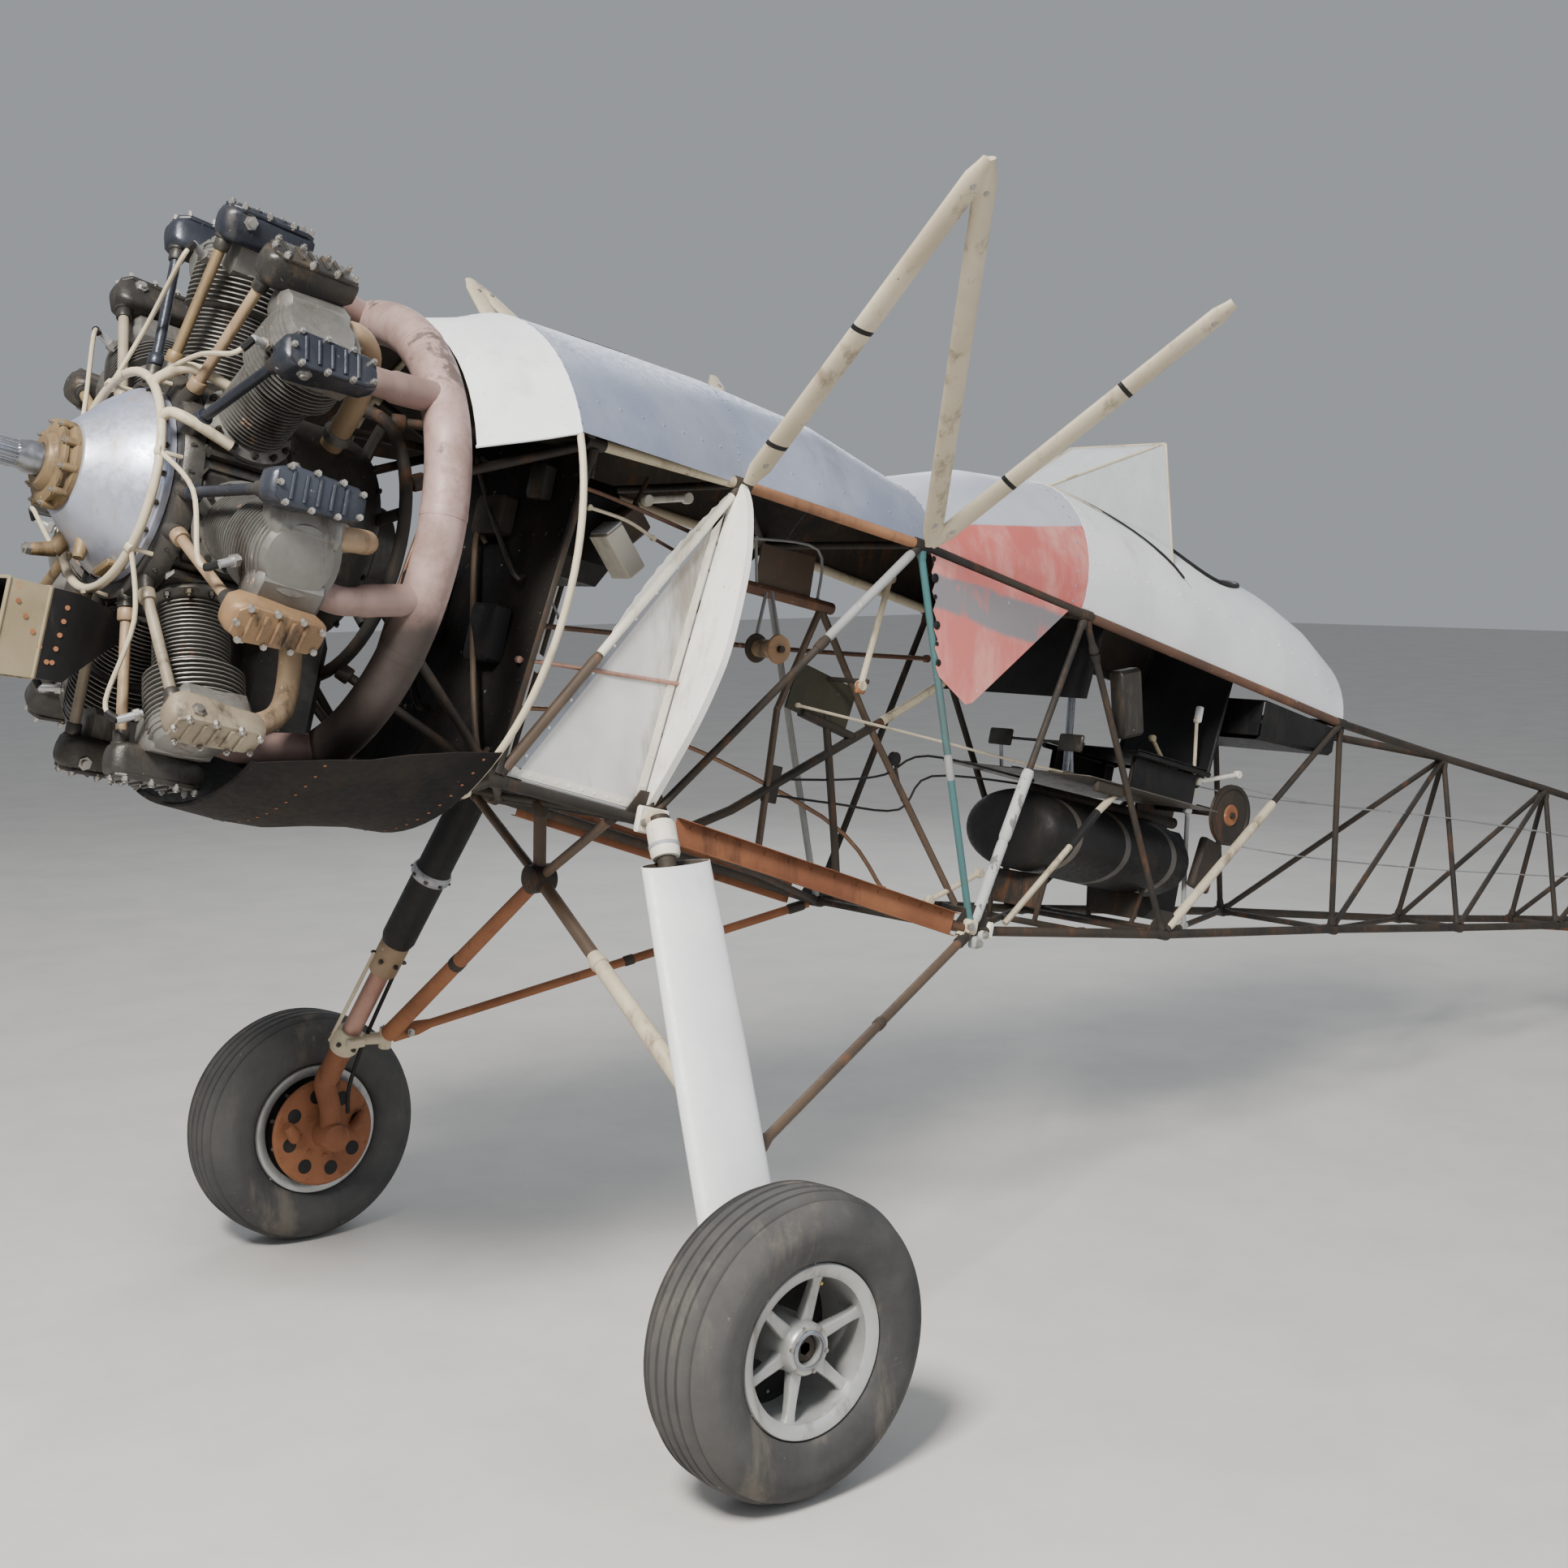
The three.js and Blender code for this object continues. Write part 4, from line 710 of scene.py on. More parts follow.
spigots = (((-0.985, 0.055, -0.128), (-1.005, 0.062, -0.165), 0.020, 0.017, 14),
           ((-1.003, 0.061, -0.160), (-1.052, 0.064, -0.172), 0.0165, 0.013, 14),
           ((-0.985, -0.03, -0.135), (-0.99, -0.04, -0.176), 0.016, 0.012, 12))
for start, end, radius, endRadius, sides in spigots:
    nose.bar(fus(*start), fus(*end), radius, "brownCasting", endRadius, sides)
stud("nut", fus(-1.056, 0.064, -0.172), forward, 0.014, 0.012)
nose.block(alongThrust @ turnX(160), (-0.93, 0, 0.195), (0.05, 0.07, 0.014), "brownCasting", 0.004)

harness = Shape("harness_ring", "cream")
harness.tube(circle(-0.945, 0.228, 64), 0.0095, "creamTube", 12, loop=True)
for turn in turns(engine["cylinders"], 0.5):
    harness.bar(onRing(-0.945, 0.228, turn), onRing(-0.900, 0.232, turn), 0.0048, "creamTube", sides=8)
    harness.collar(onRing(-0.95, 0.220, turn), onRing(-0.94, 0.236, turn), 0.5, 0.0135, 0.014, "creamTube")
for turn, bend in ((radians(-32), 0.30), (radians(-58), 0.275)):
    harness.tube(curved([onRing(-0.945, 0.228, turn), onRing(-0.935, 0.252, turn),
                         onRing(-0.90, bend, turn - 0.1), onRing(-0.82, bend, turn - 0.2)]), 0.0115,
                 "creamTube", 12)

shaft = Shape("propeller_shaft", "steel", 30, "propeller")
shaft.lathe([(0, -0.925), (0.034, -0.925), (0.034, -1.098), (0.0335, -1.12), (0.030, -1.128),
             (0.029, -1.142)],
            alongThrust, "bareSteel", 40)
# Each of the 26 splines takes four points round the shaft, two of them at the groove's depth
shaft.rings([[onRing(station, 0.0300 - (depth if i % 4 > 1 else 0), turn)
              for i, turn in enumerate(turns(104, 0.5))]
             for station, depth in ((-1.142, 0), (-1.146, 0.0032), (-1.245, 0.0032), (-1.249, 0))],
            "bareSteel")
shaft.lathe([(0.029, -1.249), (0.0265, -1.254), (0.0262, -1.262), (0.0245, -1.264), (0.0245, -1.268),
             (0.0262, -1.270), (0.0262, -1.276), (0.0245, -1.278), (0.0245, -1.282), (0.0262, -1.284),
             (0.0262, -1.312), (0.0245, -1.3195), (0.015, -1.3195), (0.014, -1.29), (0, -1.29)], alongThrust,
            "bareSteel", 36)

collector = Shape("exhaust_ring", "exhaust", 45)
# The ring's black lower part and patches are painted shade
collector.tube([onRing(-0.453, 0.494, radians(-167 + 334 * j / 120)) for j in range(121)], 0.0485, "ringSoot",
               24)
for middle in (-118, -84, -32, 20, 58, 95, 128):
    collector.tube([onRing(-0.453, 0.494, radians(middle + step)) for step in (-1.1, 0, 1.1)],
                   [0.0492, 0.0498, 0.0492], "ringSoot", 24)

mount = Shape("engine_mount")
mount.tube(circle(-0.43, 0.30, 56), 0.014, "darkFrame", 12, loop=True)
for side in (-1, 1):
    for degrees, corner in ((25, (-0.013, 0.338)), (65, (-0.013, 0.338)), (115, (-0.096, -0.445)),
                            (155, (-0.096, -0.445))):
        start, end = onRing(-0.43, 0.3, side * radians(degrees)), fus(corner[0], side * 0.315, corner[1])
        mount.bar(start, end, 0.011, "darkFrame")
        mount.collar(start, end, 0.06, 0.019, 0.03, "darkFrame")

scoop = Shape("air_scoop", "olive", 30)
# Station, half width, low and high edge of the air box
scoopRows = ((-1.149, 0.1295, -0.4395, -0.2515), (-1.055, 0.1232, -0.4332, -0.2515),
             (-1.0, 0.1195, -0.4295, -0.2515), (-0.905, 0.061, -0.349, -0.263),
             (-0.869, 0.045, -0.319, -0.2415))
scoopOuter, scoopInner = ([fusAll((s, wall - w, low + wall), (s, w - wall, low + wall),
                                  (s, w - wall, high - wall), (s, wall - w, high - wall))
                           for s, w, low, high in scoopRows] for wall in (0, 0.004))
# Only the front band of the air box is olive; its rear part and its inside are black, painted shade
for rows, look in ((scoopOuter[:2], "oliveBox"), (scoopOuter[1:], "blackForm"),
                   (scoopInner[::-1], "blackForm"), ([scoopInner[0], scoopOuter[0]], "oliveBox"),
                   ([scoopOuter[-1], scoopInner[-1]], "oliveBox")):
    scoop.rings(rows, look, caps=False)
for share in (0.04, 0.94):
    rim = [between(a, b, share) for a, b in zip(scoopOuter[0], scoopOuter[1])]
    for a, b in zip(rim, rim[1:] + rim[:1]):
        scoop.bar(a, b, 0.0035, "oliveBox", sides=8)
for side in (-1, 1):
    for start, end in ((Vector((-1.13, -0.28)), Vector((-1.03, -0.41))),
                       (Vector((-1.03, -0.41)), Vector((-1.02, -0.27)))):
        for share in (0.1, 0.3, 0.5, 0.7, 0.9):
            station, height = between(start, end, share)
            wide = 0.1295 - (station + 1.149) / 0.149 * 0.01
            stud("rustRivet", fus(station, side * wide, height), aimed(0, side, 0), 0.0052, 0.004)
print("engine")

# Tube frame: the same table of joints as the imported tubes, as station, half width and height
upperNodes = [(-0.013, 0.315, 0.338), (0.414, 0.315, 0.363), (1.020, 0.315, 0.374), (1.691, 0.310, 0.348),
              (3.050, 0.250, 0.312), (4.080, 0.0, 0.375), (4.820, 0.0, 0.392), (5.600, 0.0, 0.400)]
lowerNodes = [(-0.096, 0.315, -0.445), (0.329, 0.315, -0.465), (1.468, 0.315, -0.570), (2.300, 0.290, -0.473),
              (3.240, 0.225, -0.341), (4.160, 0.125, -0.226), (4.900, 0.095, -0.122), (5.600, 0.018, -0.020)]
frameTubes = {"thick": 0.0138, "thin": 0.0098, "split": 1.760}


def joint(nodes, i, side):
    station, half, height = nodes[i]
    return fus(station, side * half, height)


def topNode(i, side):
    return joint(upperNodes, i, side)


def lowNode(i, side):
    return joint(lowerNodes, i, side)


def lowAt(station, side):
    i = next(n for n, node in enumerate(lowerNodes) if node[0] > station) - 1
    share = (station - lowerNodes[i][0]) / (lowerNodes[i + 1][0] - lowerNodes[i][0])
    return between(lowNode(i, side), lowNode(i + 1, side), share)


sections = {name: Shape(node, name=f"{name}_full") for name, node in
            (("frame_left", "front_frame_left"), ("frame_right", "front_frame_right"),
             ("frame_top", "front_top_tubes"), ("frame_belly", "front_belly_tubes"),
             ("frame_rear", "rear_truss"))}


def sectionAt(name, station):
    return sections[name if station < frameTubes["split"] else "frame_rear"]


# A tube of the frame, shared between the sections before and behind the split, with a weld at each end
def truss(name, start, end, radius, look="darkFrame", ends=0.0):
    first, last = stationOf(start), stationOf(end)
    middle = between(start, end, (frameTubes["split"] - first) / (last - first)) if last != first else start
    crossed = (first < frameTubes["split"]) != (last < frameTubes["split"])
    runs = [(start, middle, first), (middle, end, last)] if crossed else [(start, end, first)]
    for a, b, station in runs:
        piece, step = sectionAt(name, station), (b - a).normalized()
        low, high = (a + step * ends if a is start else a), (b - step * ends if b is end else b)
        piece.bar(low, high, radius, look, sides=14)
        if ends:
            for spot, sign in ((low, step), (high, -step)):
                piece.tube([spot + sign * reach for reach in (0.004, 0.020, 0.030)],
                           [radius * 1.45, radius * 1.25, radius], look, 12)


# Tubes of a side that aren't dark: chord or brace, its number, port look and starboard look
sideLooks = {("top", 0): ("creamTube", "creamTube"), ("top", 1): ("orangeTube", "creamTube"),
             ("top", 2): ("darkFrame", "creamTube"), ("top", 3): ("rustTube", "darkFrame"),
             ("low", 1): ("rustTube", "darkFrame"), ("brace", 4): ("tealTube", "greyTube")}
# Runs along a port brace that differ from the rest: from, to, radius and look
braceRuns = {1: ((0.03, 0.60, 0.0104, "creamPaint"), (0.60, 0.97, 0.0128, "brownFrame")),
             3: ((0.03, 0.36, 0.0125, "greyTube"), (0.36, 0.40, 0.0135, "darkFrame")),
             4: ((0.53, 0.60, 0.0112, "greyTube"),),
             5: ((0.50, 0.72, 0.0165, "wrapTape"), (0.72, 0.97, 0.0150, "wrapTape")),
             7: ((0.40, 0.97, 0.0142, "creamTube"),)}
dark = ("darkFrame", "darkFrame")
for side, name in ((-1, "frame_left"), (1, "frame_right")):
    for chord, nodes, count in (("top", upperNodes, 5), ("low", lowerNodes, 7)):
        for i in range(count):
            truss(name, joint(nodes, i, side), joint(nodes, i + 1, side), frameTubes["thick"],
                  sideLooks.get((chord, i), dark)[side > 0])
    for i in range(14):
        high, low = topNode((i + 1) // 2, side), lowNode(i // 2, side)
        truss(name, high, low, frameTubes["thin"], sideLooks.get(("brace", i), dark)[side > 0], 0.012)
        for start, stop, radius, look in (braceRuns.get(i, ()) if side < 0 else ()):
            sectionAt(name, upperNodes[(i + 1) // 2][0]).tube(
                [between(high, low, t) for t in (start, start + 0.012, stop - 0.012, stop)],
                [radius * 0.85, radius, radius, radius * 0.85], look, 16)
    for nodes, count in ((upperNodes, 5), (lowerNodes, 7)):
        for i in range(count):
            spot, reach = joint(nodes, i, side), aimed(0.03, 0, 0)
            sectionAt(name, nodes[i][0]).collar(spot - reach, spot + reach, 0.5, 0.0165, 0.05, "darkFrame")
    for i in (1, 2, 3):
        station, half, height = lowerNodes[i]
        sectionAt(name, station).plate([fus(station + x, side * half, height + z) for x, z in
                                        ((-0.07, 0.004), (0.08, 0.004), (0.03, 0.07), (-0.03, 0.07))],
                                       Vector((0, -0.0025, 0)), "darkFrame")
# Cast cluster at the third lower joint on the port side
for spot, size, look in (((1.452, -0.322, -0.560), (0.040, 0.034, 0.040), "creamTube"),
                         ((1.500, -0.318, -0.576), (0.046, 0.030, 0.026), "creamPaint"),
                         ((1.475, -0.330, -0.598), (0.030, 0.028, 0.034), "greyTube"),
                         ((1.420, -0.328, -0.586), (0.030, 0.024, 0.020), "creamTube"),
                         ((1.535, -0.315, -0.560), (0.024, 0.024, 0.046), "creamPaint")):
    sections["frame_left"].block(alongThrust @ Matrix.Translation(spot), (0, 0, 0), size, look, 0.006)
for spot in ((1.440, -0.340, -0.560), (1.505, -0.336, -0.574), (1.478, -0.346, -0.600)):
    stud("nut", fus(*spot), Vector((0, -1, 0)), 0.011, 0.010)
for name, nodes, count, slants in (("frame_top", upperNodes, 5, 3), ("frame_belly", lowerNodes, 7, 5)):
    for i in range(count):
        truss(name, joint(nodes, i, -1), joint(nodes, i, 1), frameTubes["thin"], ends=0.015)
    for i in range(slants):
        truss(name, joint(nodes, i, -1), joint(nodes, i + 1, 1), frameTubes["thin"], ends=0.02)
for station in (0.244, 1.96, 2.40):
    truss("frame_belly", lowAt(station, -1), lowAt(station, 1), frameTubes["thin"], ends=0.015)
for i in (5, 6):
    truss("frame_rear", topNode(i, 1), topNode(i + 1, 1), frameTubes["thick"])
truss("frame_rear", fus(5.6, 0, 0.43), fus(5.6, 0, -0.06), 0.0175)
for high, low in ((0.42, 0.38), (-0.02, -0.05)):
    sections["frame_rear"].collar(fus(5.6, 0, high), fus(5.6, 0, low), 0.5, 0.0215, 0.04, "rustPlate")

hoop = Shape("front_hoop", "cream")
hoop.tube(circle(-0.187, 0.596, 96), 0.0079, "creamTube", 12, loop=True)
for side in (-1, 1):
    for start, end in ((topNode(0, side), fus(-0.187, side * 0.402, 0.431)),
                       (lowNode(0, side), fus(-0.187, side * 0.345, -0.486))):
        hoop.bar(start, end, 0.009, "darkFrame")
        hoop.collar(start, end, 0.97, 0.0125, 0.02, "creamTube")
print("frame")

# skins
skinThick = 0.0016


def arc(station, radius, half, middle=0.0, steps=24):
    return [onRing(station, radius, radians(middle - half + 2 * half * j / steps)) for j in range(steps + 1)]


# Radius of the arch that spans a half width and a rise
def archRadius(half, rise):
    return (half * half + rise * rise) / (2 * rise)


def arch(station, half, base, crown, steps=24):
    radius = archRadius(half, crown - base)
    reach = atan2(half, base - crown + radius)
    return [fus(station, radius * sin(turn), crown - radius + radius * cos(turn))
            for turn in (reach * (2 * j / steps - 1) for j in range(steps + 1))]


def filled(rows, extra=3):
    return [[between(p, q, step / extra) for p, q in zip(a, b)]
            for a, b in zip(rows, rows[1:]) for step in range(extra)] + [rows[-1]]


# The skin's outward direction at a point, from two edges along it
def outwardAt(point, across, along):
    aim = across.cross(along).normalized()
    return aim if aim.dot(point - fus(stationOf(point), 0, 0)) > 0 else -aim


def rivetRow(row, other, count, kind="silverRivet"):
    for n in range(count):
        place = (0.02 + 0.96 * n / (count - 1)) * (len(row) - 1)
        j = min(int(place), len(row) - 2)
        point = between(row[j], row[j + 1], place - j)
        aim = outwardAt(point, row[j + 1] - row[j], other[j] - row[j])
        stud(kind, point + aim * 0.0004, aim, 0.0034, 0.0016)


# A skin with rows of rivets, each given by its row, the next row and a count
def skin(node, slot, rows, look, inside, rivets, kind):
    shape = Shape(node, slot, 50)
    shape.sheet(rows, skinThick, look, inside)
    for row, other, count in rivets:
        rivetRow(rows[row], rows[other], count, kind)
    return shape


panelRows = filled([arc(*row) for row in ((-0.4, 0.52, 66), (-0.35, 0.54, 64.5), (-0.3, 0.557, 63),
                                          (-0.25, 0.575, 61.5), (-0.188, 0.6062, 60))], 2)
panel = skin("front_panel", "white", panelRows, "whitePaint", "darkFrame", ((-2, -3, 26), (1, 2, 22)),
             "rivet")
for edge in (0, -1):
    lip = [row[edge] for row in panelRows]
    panel.tube([point - (point - fus(stationOf(point), 0, 0)).normalized() * 0.0035 for point in lip], 0.0034,
               "whitePaint", 8)

deckRows = filled([arc(-0.1865, 0.6062, 60), arch(0.11, 0.428, 0.332, 0.626), arch(0.4, 0.318, 0.362, 0.640),
                   arch(0.75, 0.318, 0.368, 0.632), arch(1.0848, 0.318, 0.372, 0.575)], 4)
deck = skin("front_deck", "silver", deckRows, "silverPaint", "darkFrame",
            ((0, 1, 30), (8, 9, 24), (-2, -3, 24)), "silverRivet")
for j in (2, 22):
    for row, other in list(zip(deckRows, deckRows[1:]))[1:-1]:
        aim = outwardAt(row[j], row[j + 1] - row[j], other[j] - row[j])
        stud("silverRivet", row[j] + aim * 0.0004, aim, 0.0034, 0.0016)


def onDeck(share, row):
    place = share * 24
    i, j = int(row), int(place)
    first, second = (between(deckRows[n][j], deckRows[n][j + 1], place - j) for n in (i, i + 1))
    return between(first, second, row - i)


# A dark slot to port of the crest, from one share and row of the deck to another
slot = [[onDeck(0.388 + 0.044 * v / 6, 2.3 + 2.3 * u / 6) for v in range(7)] for u in range(7)]
lift = outwardAt(slot[3][3], slot[0][1] - slot[0][0], slot[1][0] - slot[0][0]) * 0.0018
deck.sheet([[point + lift for point in row] for row in slot], 0.0010, "blackForm")

cowlRows = filled([arc(*row, 180) for row in ((-0.69, 0.634, 36), (-0.56, 0.644, 42), (-0.48, 0.643, 44),
                                              (-0.39, 0.625, 46), (-0.28, 0.609, 48), (-0.187, 0.6062, 50))])
# The lower cowl is near-black: soot, and painted shade under the engine
cowl = skin("lower_cowl", "dark", cowlRows, "sootyCowl", "sootyCowl", ((3, 4, 24), (-2, -3, 24)), "rustRivet")
cowl.tube([between(p, fus(-0.69, 0, 0), 0.008) for p in cowlRows[0]], 0.0045, "sootyCowl", 8)

midRows = filled([arch(1.0858, 0.318, 0.372, 0.577), arch(1.36, 0.316, 0.361, 0.680),
                  arch(1.6668, 0.313, 0.349, 0.732)], 7)
skin("mid_cowl", "silver", midRows, "midCowlPaint", "darkFrame", ((0, 1, 22), (-2, -3, 26)), "silverRivet")

hole = {"station": 2.33, "long": 0.29, "wide": 0.205}
cowlProfile = [(1.6678, 0.313, 0.349, 0.734), (2.1, 0.294, 0.337, 0.715), (2.5, 0.276, 0.327, 0.682),
               (2.7, 0.267, 0.322, 0.663), (2.9, 0.258, 0.317, 0.620), (3.06, 0.252, 0.312, 0.557)]


# Half width, height of the crest and radius of the cockpit cowl at a station, and its reach
def cowlAt(station):
    i = max(n for n in range(len(cowlProfile) - 1) if cowlProfile[n][0] <= station + 1e-9)
    share = (station - cowlProfile[i][0]) / (cowlProfile[i + 1][0] - cowlProfile[i][0])
    _, wide, base, crown = (a + (b - a) * share for a, b in zip(cowlProfile[i], cowlProfile[i + 1]))
    radius = archRadius(wide, crown - base)
    return wide, crown, radius, atan2(wide, base - crown + radius)


def onCowl(station, half):
    _, crown, radius, _ = cowlAt(station)
    return fus(station, half, crown - radius + sqrt(max(radius * radius - half * half, 0)))


# The cockpit cowl is laid in side strips, so that the opening gets a clean rim
cockpit = Shape("cockpit_cowl", "white", 50)
alongHole = [hole["station"] + hole["long"] * cos(pi * n / 18) for n in range(19)]
stations = sorted([1.6678, 1.75, 1.83, 1.92, 1.98, *alongHole, 2.68, 2.74, 2.80, 2.86, 2.9, 2.95, 3.0, 3.06])
for side in (-1, 1):
    strips = []
    for station in stations:
        _, crown, radius, reach = cowlAt(station)
        near = hole["wide"] * sqrt(max(0, 1 - ((station - hole["station"]) / hole["long"]) ** 2))
        start = asin(min(0.999, near / radius))
        row = [fus(station, side * radius * sin(turn), crown - radius + radius * cos(turn))
               for turn in (start + (reach - start) * j / 14 for j in range(15))]
        strips.append(row[::side])
    # Its inside face takes the dark frame look: painted shade under the cowl
    cockpit.sheet(strips, skinThick, "whitePaint", "darkFrame")
rim = [onCowl(hole["station"] + hole["long"] * cos(turn), hole["wide"] * sin(turn)) - Vector((0, 0, 0.001))
       for turn in turns(48)]
cockpit.tube(rim, 0.0085, "blackForm", 12, loop=True)
rivetRow(arch(3.04, 0.2526, 0.3124, 0.562), arch(3.0, 0.254, 0.314, 0.58), 22, "rivet")
rivetRow(arch(1.69, 0.312, 0.3484, 0.733), arch(1.75, 0.309, 0.347, 0.731), 26, "rivet")
for side in (-1, 1):
    for station in (1.72 + n * 0.077 for n in range(18)):
        stud("rivet", onCowl(station, side * (cowlAt(station)[0] - 0.006)),
             Vector((0, side, 0.15)).normalized(), 0.0034, 0.003)

screen = Shape("windscreen", "glass", 30)
screenLow = fusAll((2.11, -0.25, 0.54), (1.68, -0.07, 0.715), (1.68, 0.07, 0.715), (2.11, 0.25, 0.54))
screenHigh = fusAll((2.034, -0.188, 0.943), (2.03, -0.18, 0.943), (2.03, 0.18, 0.943), (2.034, 0.188, 0.943))


# First point up a line that lies above the cockpit cowl
def aboveCowl(low, high):
    for n in range(200):
        point = between(low, high, n / 200)
        local = alongThrust.inverted() @ point
        if local.x >= cowlProfile[0][0]:
            top = alongThrust.inverted() @ onCowl(local.x, min(abs(local.y), 0.25))
            if local.z > top.z + 0.001:
                return point
    return low


panes = 8
for lows, highs in zip(zip(screenLow, screenLow[1:]), zip(screenHigh, screenHigh[1:])):
    posts = [(between(*lows, step / panes), between(*highs, step / panes)) for step in range(panes + 1)]
    rows = [[between(aboveCowl(low, high), high, level / panes) for low, high in posts]
            for level in range(panes + 1)]
    screen.sheet(rows, 0.0028, "hazyPane")
    screen.tube(rows[0], 0.0042, "creamTube", 8)
    screen.bar(*highs, 0.0038, "creamTube", sides=8)
for low, high in zip(screenLow, screenHigh):
    screen.bar(aboveCowl(low, high), high, 0.0038, "creamTube", sides=8)
# Dark hinge line and a grey strip of painted shade at the foot of the port pane, on the cowl
hinge = [onCowl(1.72 + 0.42 * n / 12, -0.075 - 0.185 * n / 12) for n in range(13)]
below = [onCowl(1.75 + 0.42 * n / 12, -0.105 - 0.165 * n / 12) for n in range(13)]
screen.tube([point + Vector((-0.003, -0.003, 0.003)) for point in hinge], 0.0036, "blackForm", 8)
screen.sheet([[point + Vector((-0.001, -0.0012, 0.0016)) for point in pair] for pair in zip(hinge, below)],
             -0.0012, "shadeGrey")

ribEdge = [(0.305, 0.345), (0.330, 0.360), (0.375, 0.301), (0.419, 0.185), (0.436, 0.070), (0.441, -0.051),
           (0.426, -0.140), (0.400, -0.230), (0.361, -0.328), (0.320, -0.425), (0.305, -0.440)]
for side, name in ((-1, "left"), (1, "right")):
    outward = Vector((0, side, 0))
    rib = Shape(f"side_rib_{name}", "white")
    edge = [fus(0.414 - 0.085 * (0.363 - z) / 0.828 - 0.0122, side * y, z) for y, z in ribEdge]
    smooth = curved(edge[1:-1], 4)
    outlinePoints = [edge[0]] + smooth + [edge[-1]]
    # The rib and its flange take the brighter white of painted sunlight
    rib.rings([outlinePoints, [point + rearward * 0.0016 for point in outlinePoints]], "sunPaint")
    flange = [point + rearward * 0.001 for point in smooth]
    rib.sheet([flange, [point + rearward * 0.020 - outward * 0.001 for point in flange]], -side * 0.0016,
              "sunPaint")
    for j in range(2, len(smooth) - 2, 3):
        stud("rivet", smooth[j] - outward * 0.012 - rearward * 0.0004, -rearward, 0.0034, 0.0016)

    wall = Shape(f"side_panel_{name}", "white")
    corners = fusAll((0.396, side * 0.3033, 0.34), (-0.07, side * 0.3033, -0.428),
                     (0.316, side * 0.3033, -0.446))
    # The side panels are greyed: dirt, and painted shade
    wall.plate(corners, outward * 0.0008, "dirtyPanel")
    middle = sum(corners, Vector()) / 3
    # The strip along the front edge is blue-grey painted shade under the flange; the other two are cream
    for a, b, look in zip(corners, corners[1:] + corners[:1], ("shadeGrey", "creamPaint", "creamPaint")):
        along, inward = (b - a).normalized(), middle - between(a, b, 0.5)
        inward = (inward - along * inward.dot(along)).normalized()
        start, end = between(a, b, 0.04), between(a, b, 0.96)
        strip = [start + inward * 0.004, end + inward * 0.004, end + inward * 0.024, start + inward * 0.024]
        wall.rings([[p + outward * lift for p in strip] for lift in (0.0009, 0.0026)], look)
        for n in range(10):
            spot = between(start, end, 0.04 + 0.92 * n / 9) + inward * 0.014 + outward * 0.0028
            stud("rivet", spot, outward, 0.0036, 0.002)
    # Folded flange along the front edge, widest in the middle, with a ragged outer edge, in the brighter
    # white of painted sunlight
    flangeRows = []
    for n in range(31):
        wide = 0.010 + 0.022 * sin(pi * n / 30) + 0.0022 * sin(n * 2.6)
        inner = between(corners[0], corners[1], 0.03 + 0.60 * n / 30) + outward * 0.004
        flangeRows.append([inner, inner + outward * 0.009 + aimed(-0.62, 0, 0.78) * wide])
    wall.sheet(flangeRows, 0.0014, "sunPaint")

    channel = Shape(f"root_channel_{name}", "rust")
    slope = Matrix.Rotation(atan2(0.105, 1.139), 4, "Y")
    lay = alongThrust @ Matrix.Translation((0.9, 0, -0.517)) @ slope @ Matrix.Translation((-0.9, 0, 0.517))
    for half, height, wide, high in ((0.331, -0.517, 0.0022, 0.062), (0.341, -0.487, 0.0215, 0.0022),
                                     (0.341, -0.547, 0.0215, 0.0022)):
        channel.block(lay, (0.89, side * half, height), (0.978, wide, high), "rustPlate", 0.0009)
    for n in range(12):
        stud("rustRivet", lay @ Vector((0.45 + n * 0.08, side * 0.3325, -0.50)), outward, 0.0045, 0.003)

plate = Shape("side_plate_left", "red", 60)
plateTop, plateEnd = fusAll((1.05, -0.327, 0.36), (1.6, -0.327, 0.34))
plateLow = fusAll((1.15, -0.327, 0.06), (1.274, -0.327, 0.01), (1.3, -0.327, 0.02))
front = [between(plateTop, plateLow[0], n / 13) + rearward * (0.012 * (n % 2)) for n in range(14)]
outlinePoints = front + plateLow[1:] + [between(plateLow[2], plateEnd, t) for t in (0.3, 0.6, 1)]
thick, centre, count = Vector((0, 0.0008, 0)), fus(1.28, -0.327, 0.22), len(outlinePoints)
for side, bulge, look in ((-1, -5, "platePaint"), (1, -3, "darkFrame")):
    plate.add([p + thick * side for p in outlinePoints] + [centre + thick * bulge],
              [(i, (i + 1) % count, count) for i in range(count)], look)
plate.rings([[p + thick * side for p in outlinePoints] for side in (-1, 1)], "darkFrame", caps=False)
for n, size in ((0, 0.008), (2, 0.013), (4, 0.007), (7, 0.012), (9, 0.006), (11, 0.010)):
    scallop = between(front[n], front[n + 1], 0.5) + rearward * size * 0.5 - Vector((0, 0.0012, 0))
    plate.tube([scallop, scallop - Vector((0, 0.0014, 0))], [size, size * 0.9], "blackForm", 9)
for n in range(9):
    spot = between(plateTop, plateEnd, 0.05 + n * 0.11) - Vector((0, 0.001, 0)) - upward * 0.012
    stud("redRivet", spot, Vector((0, -1, 0)), 0.0036, 0.0018)
print("skins")

# landing gear
hub = ground(0.114, 0, 1.133)
axleHeight = 0.3215
sides = ((-1, "left"), (1, "right"))


def strutFitting(side):
    return ground(0.112, side * 0.770, 0.600)


def legAt(height, side):
    return between(ground(0.181, side * 0.397, 1.310), ground(-0.006, side * 0.884, 0.485),
                   (1.310 - height) / 0.825)


# The axle's own axes: x runs outward along it
def axleAt(side):
    return Matrix.Translation((-stand["shift"], 0, axleHeight)) @ Matrix.Rotation(side * pi / 2, 4, "Z")


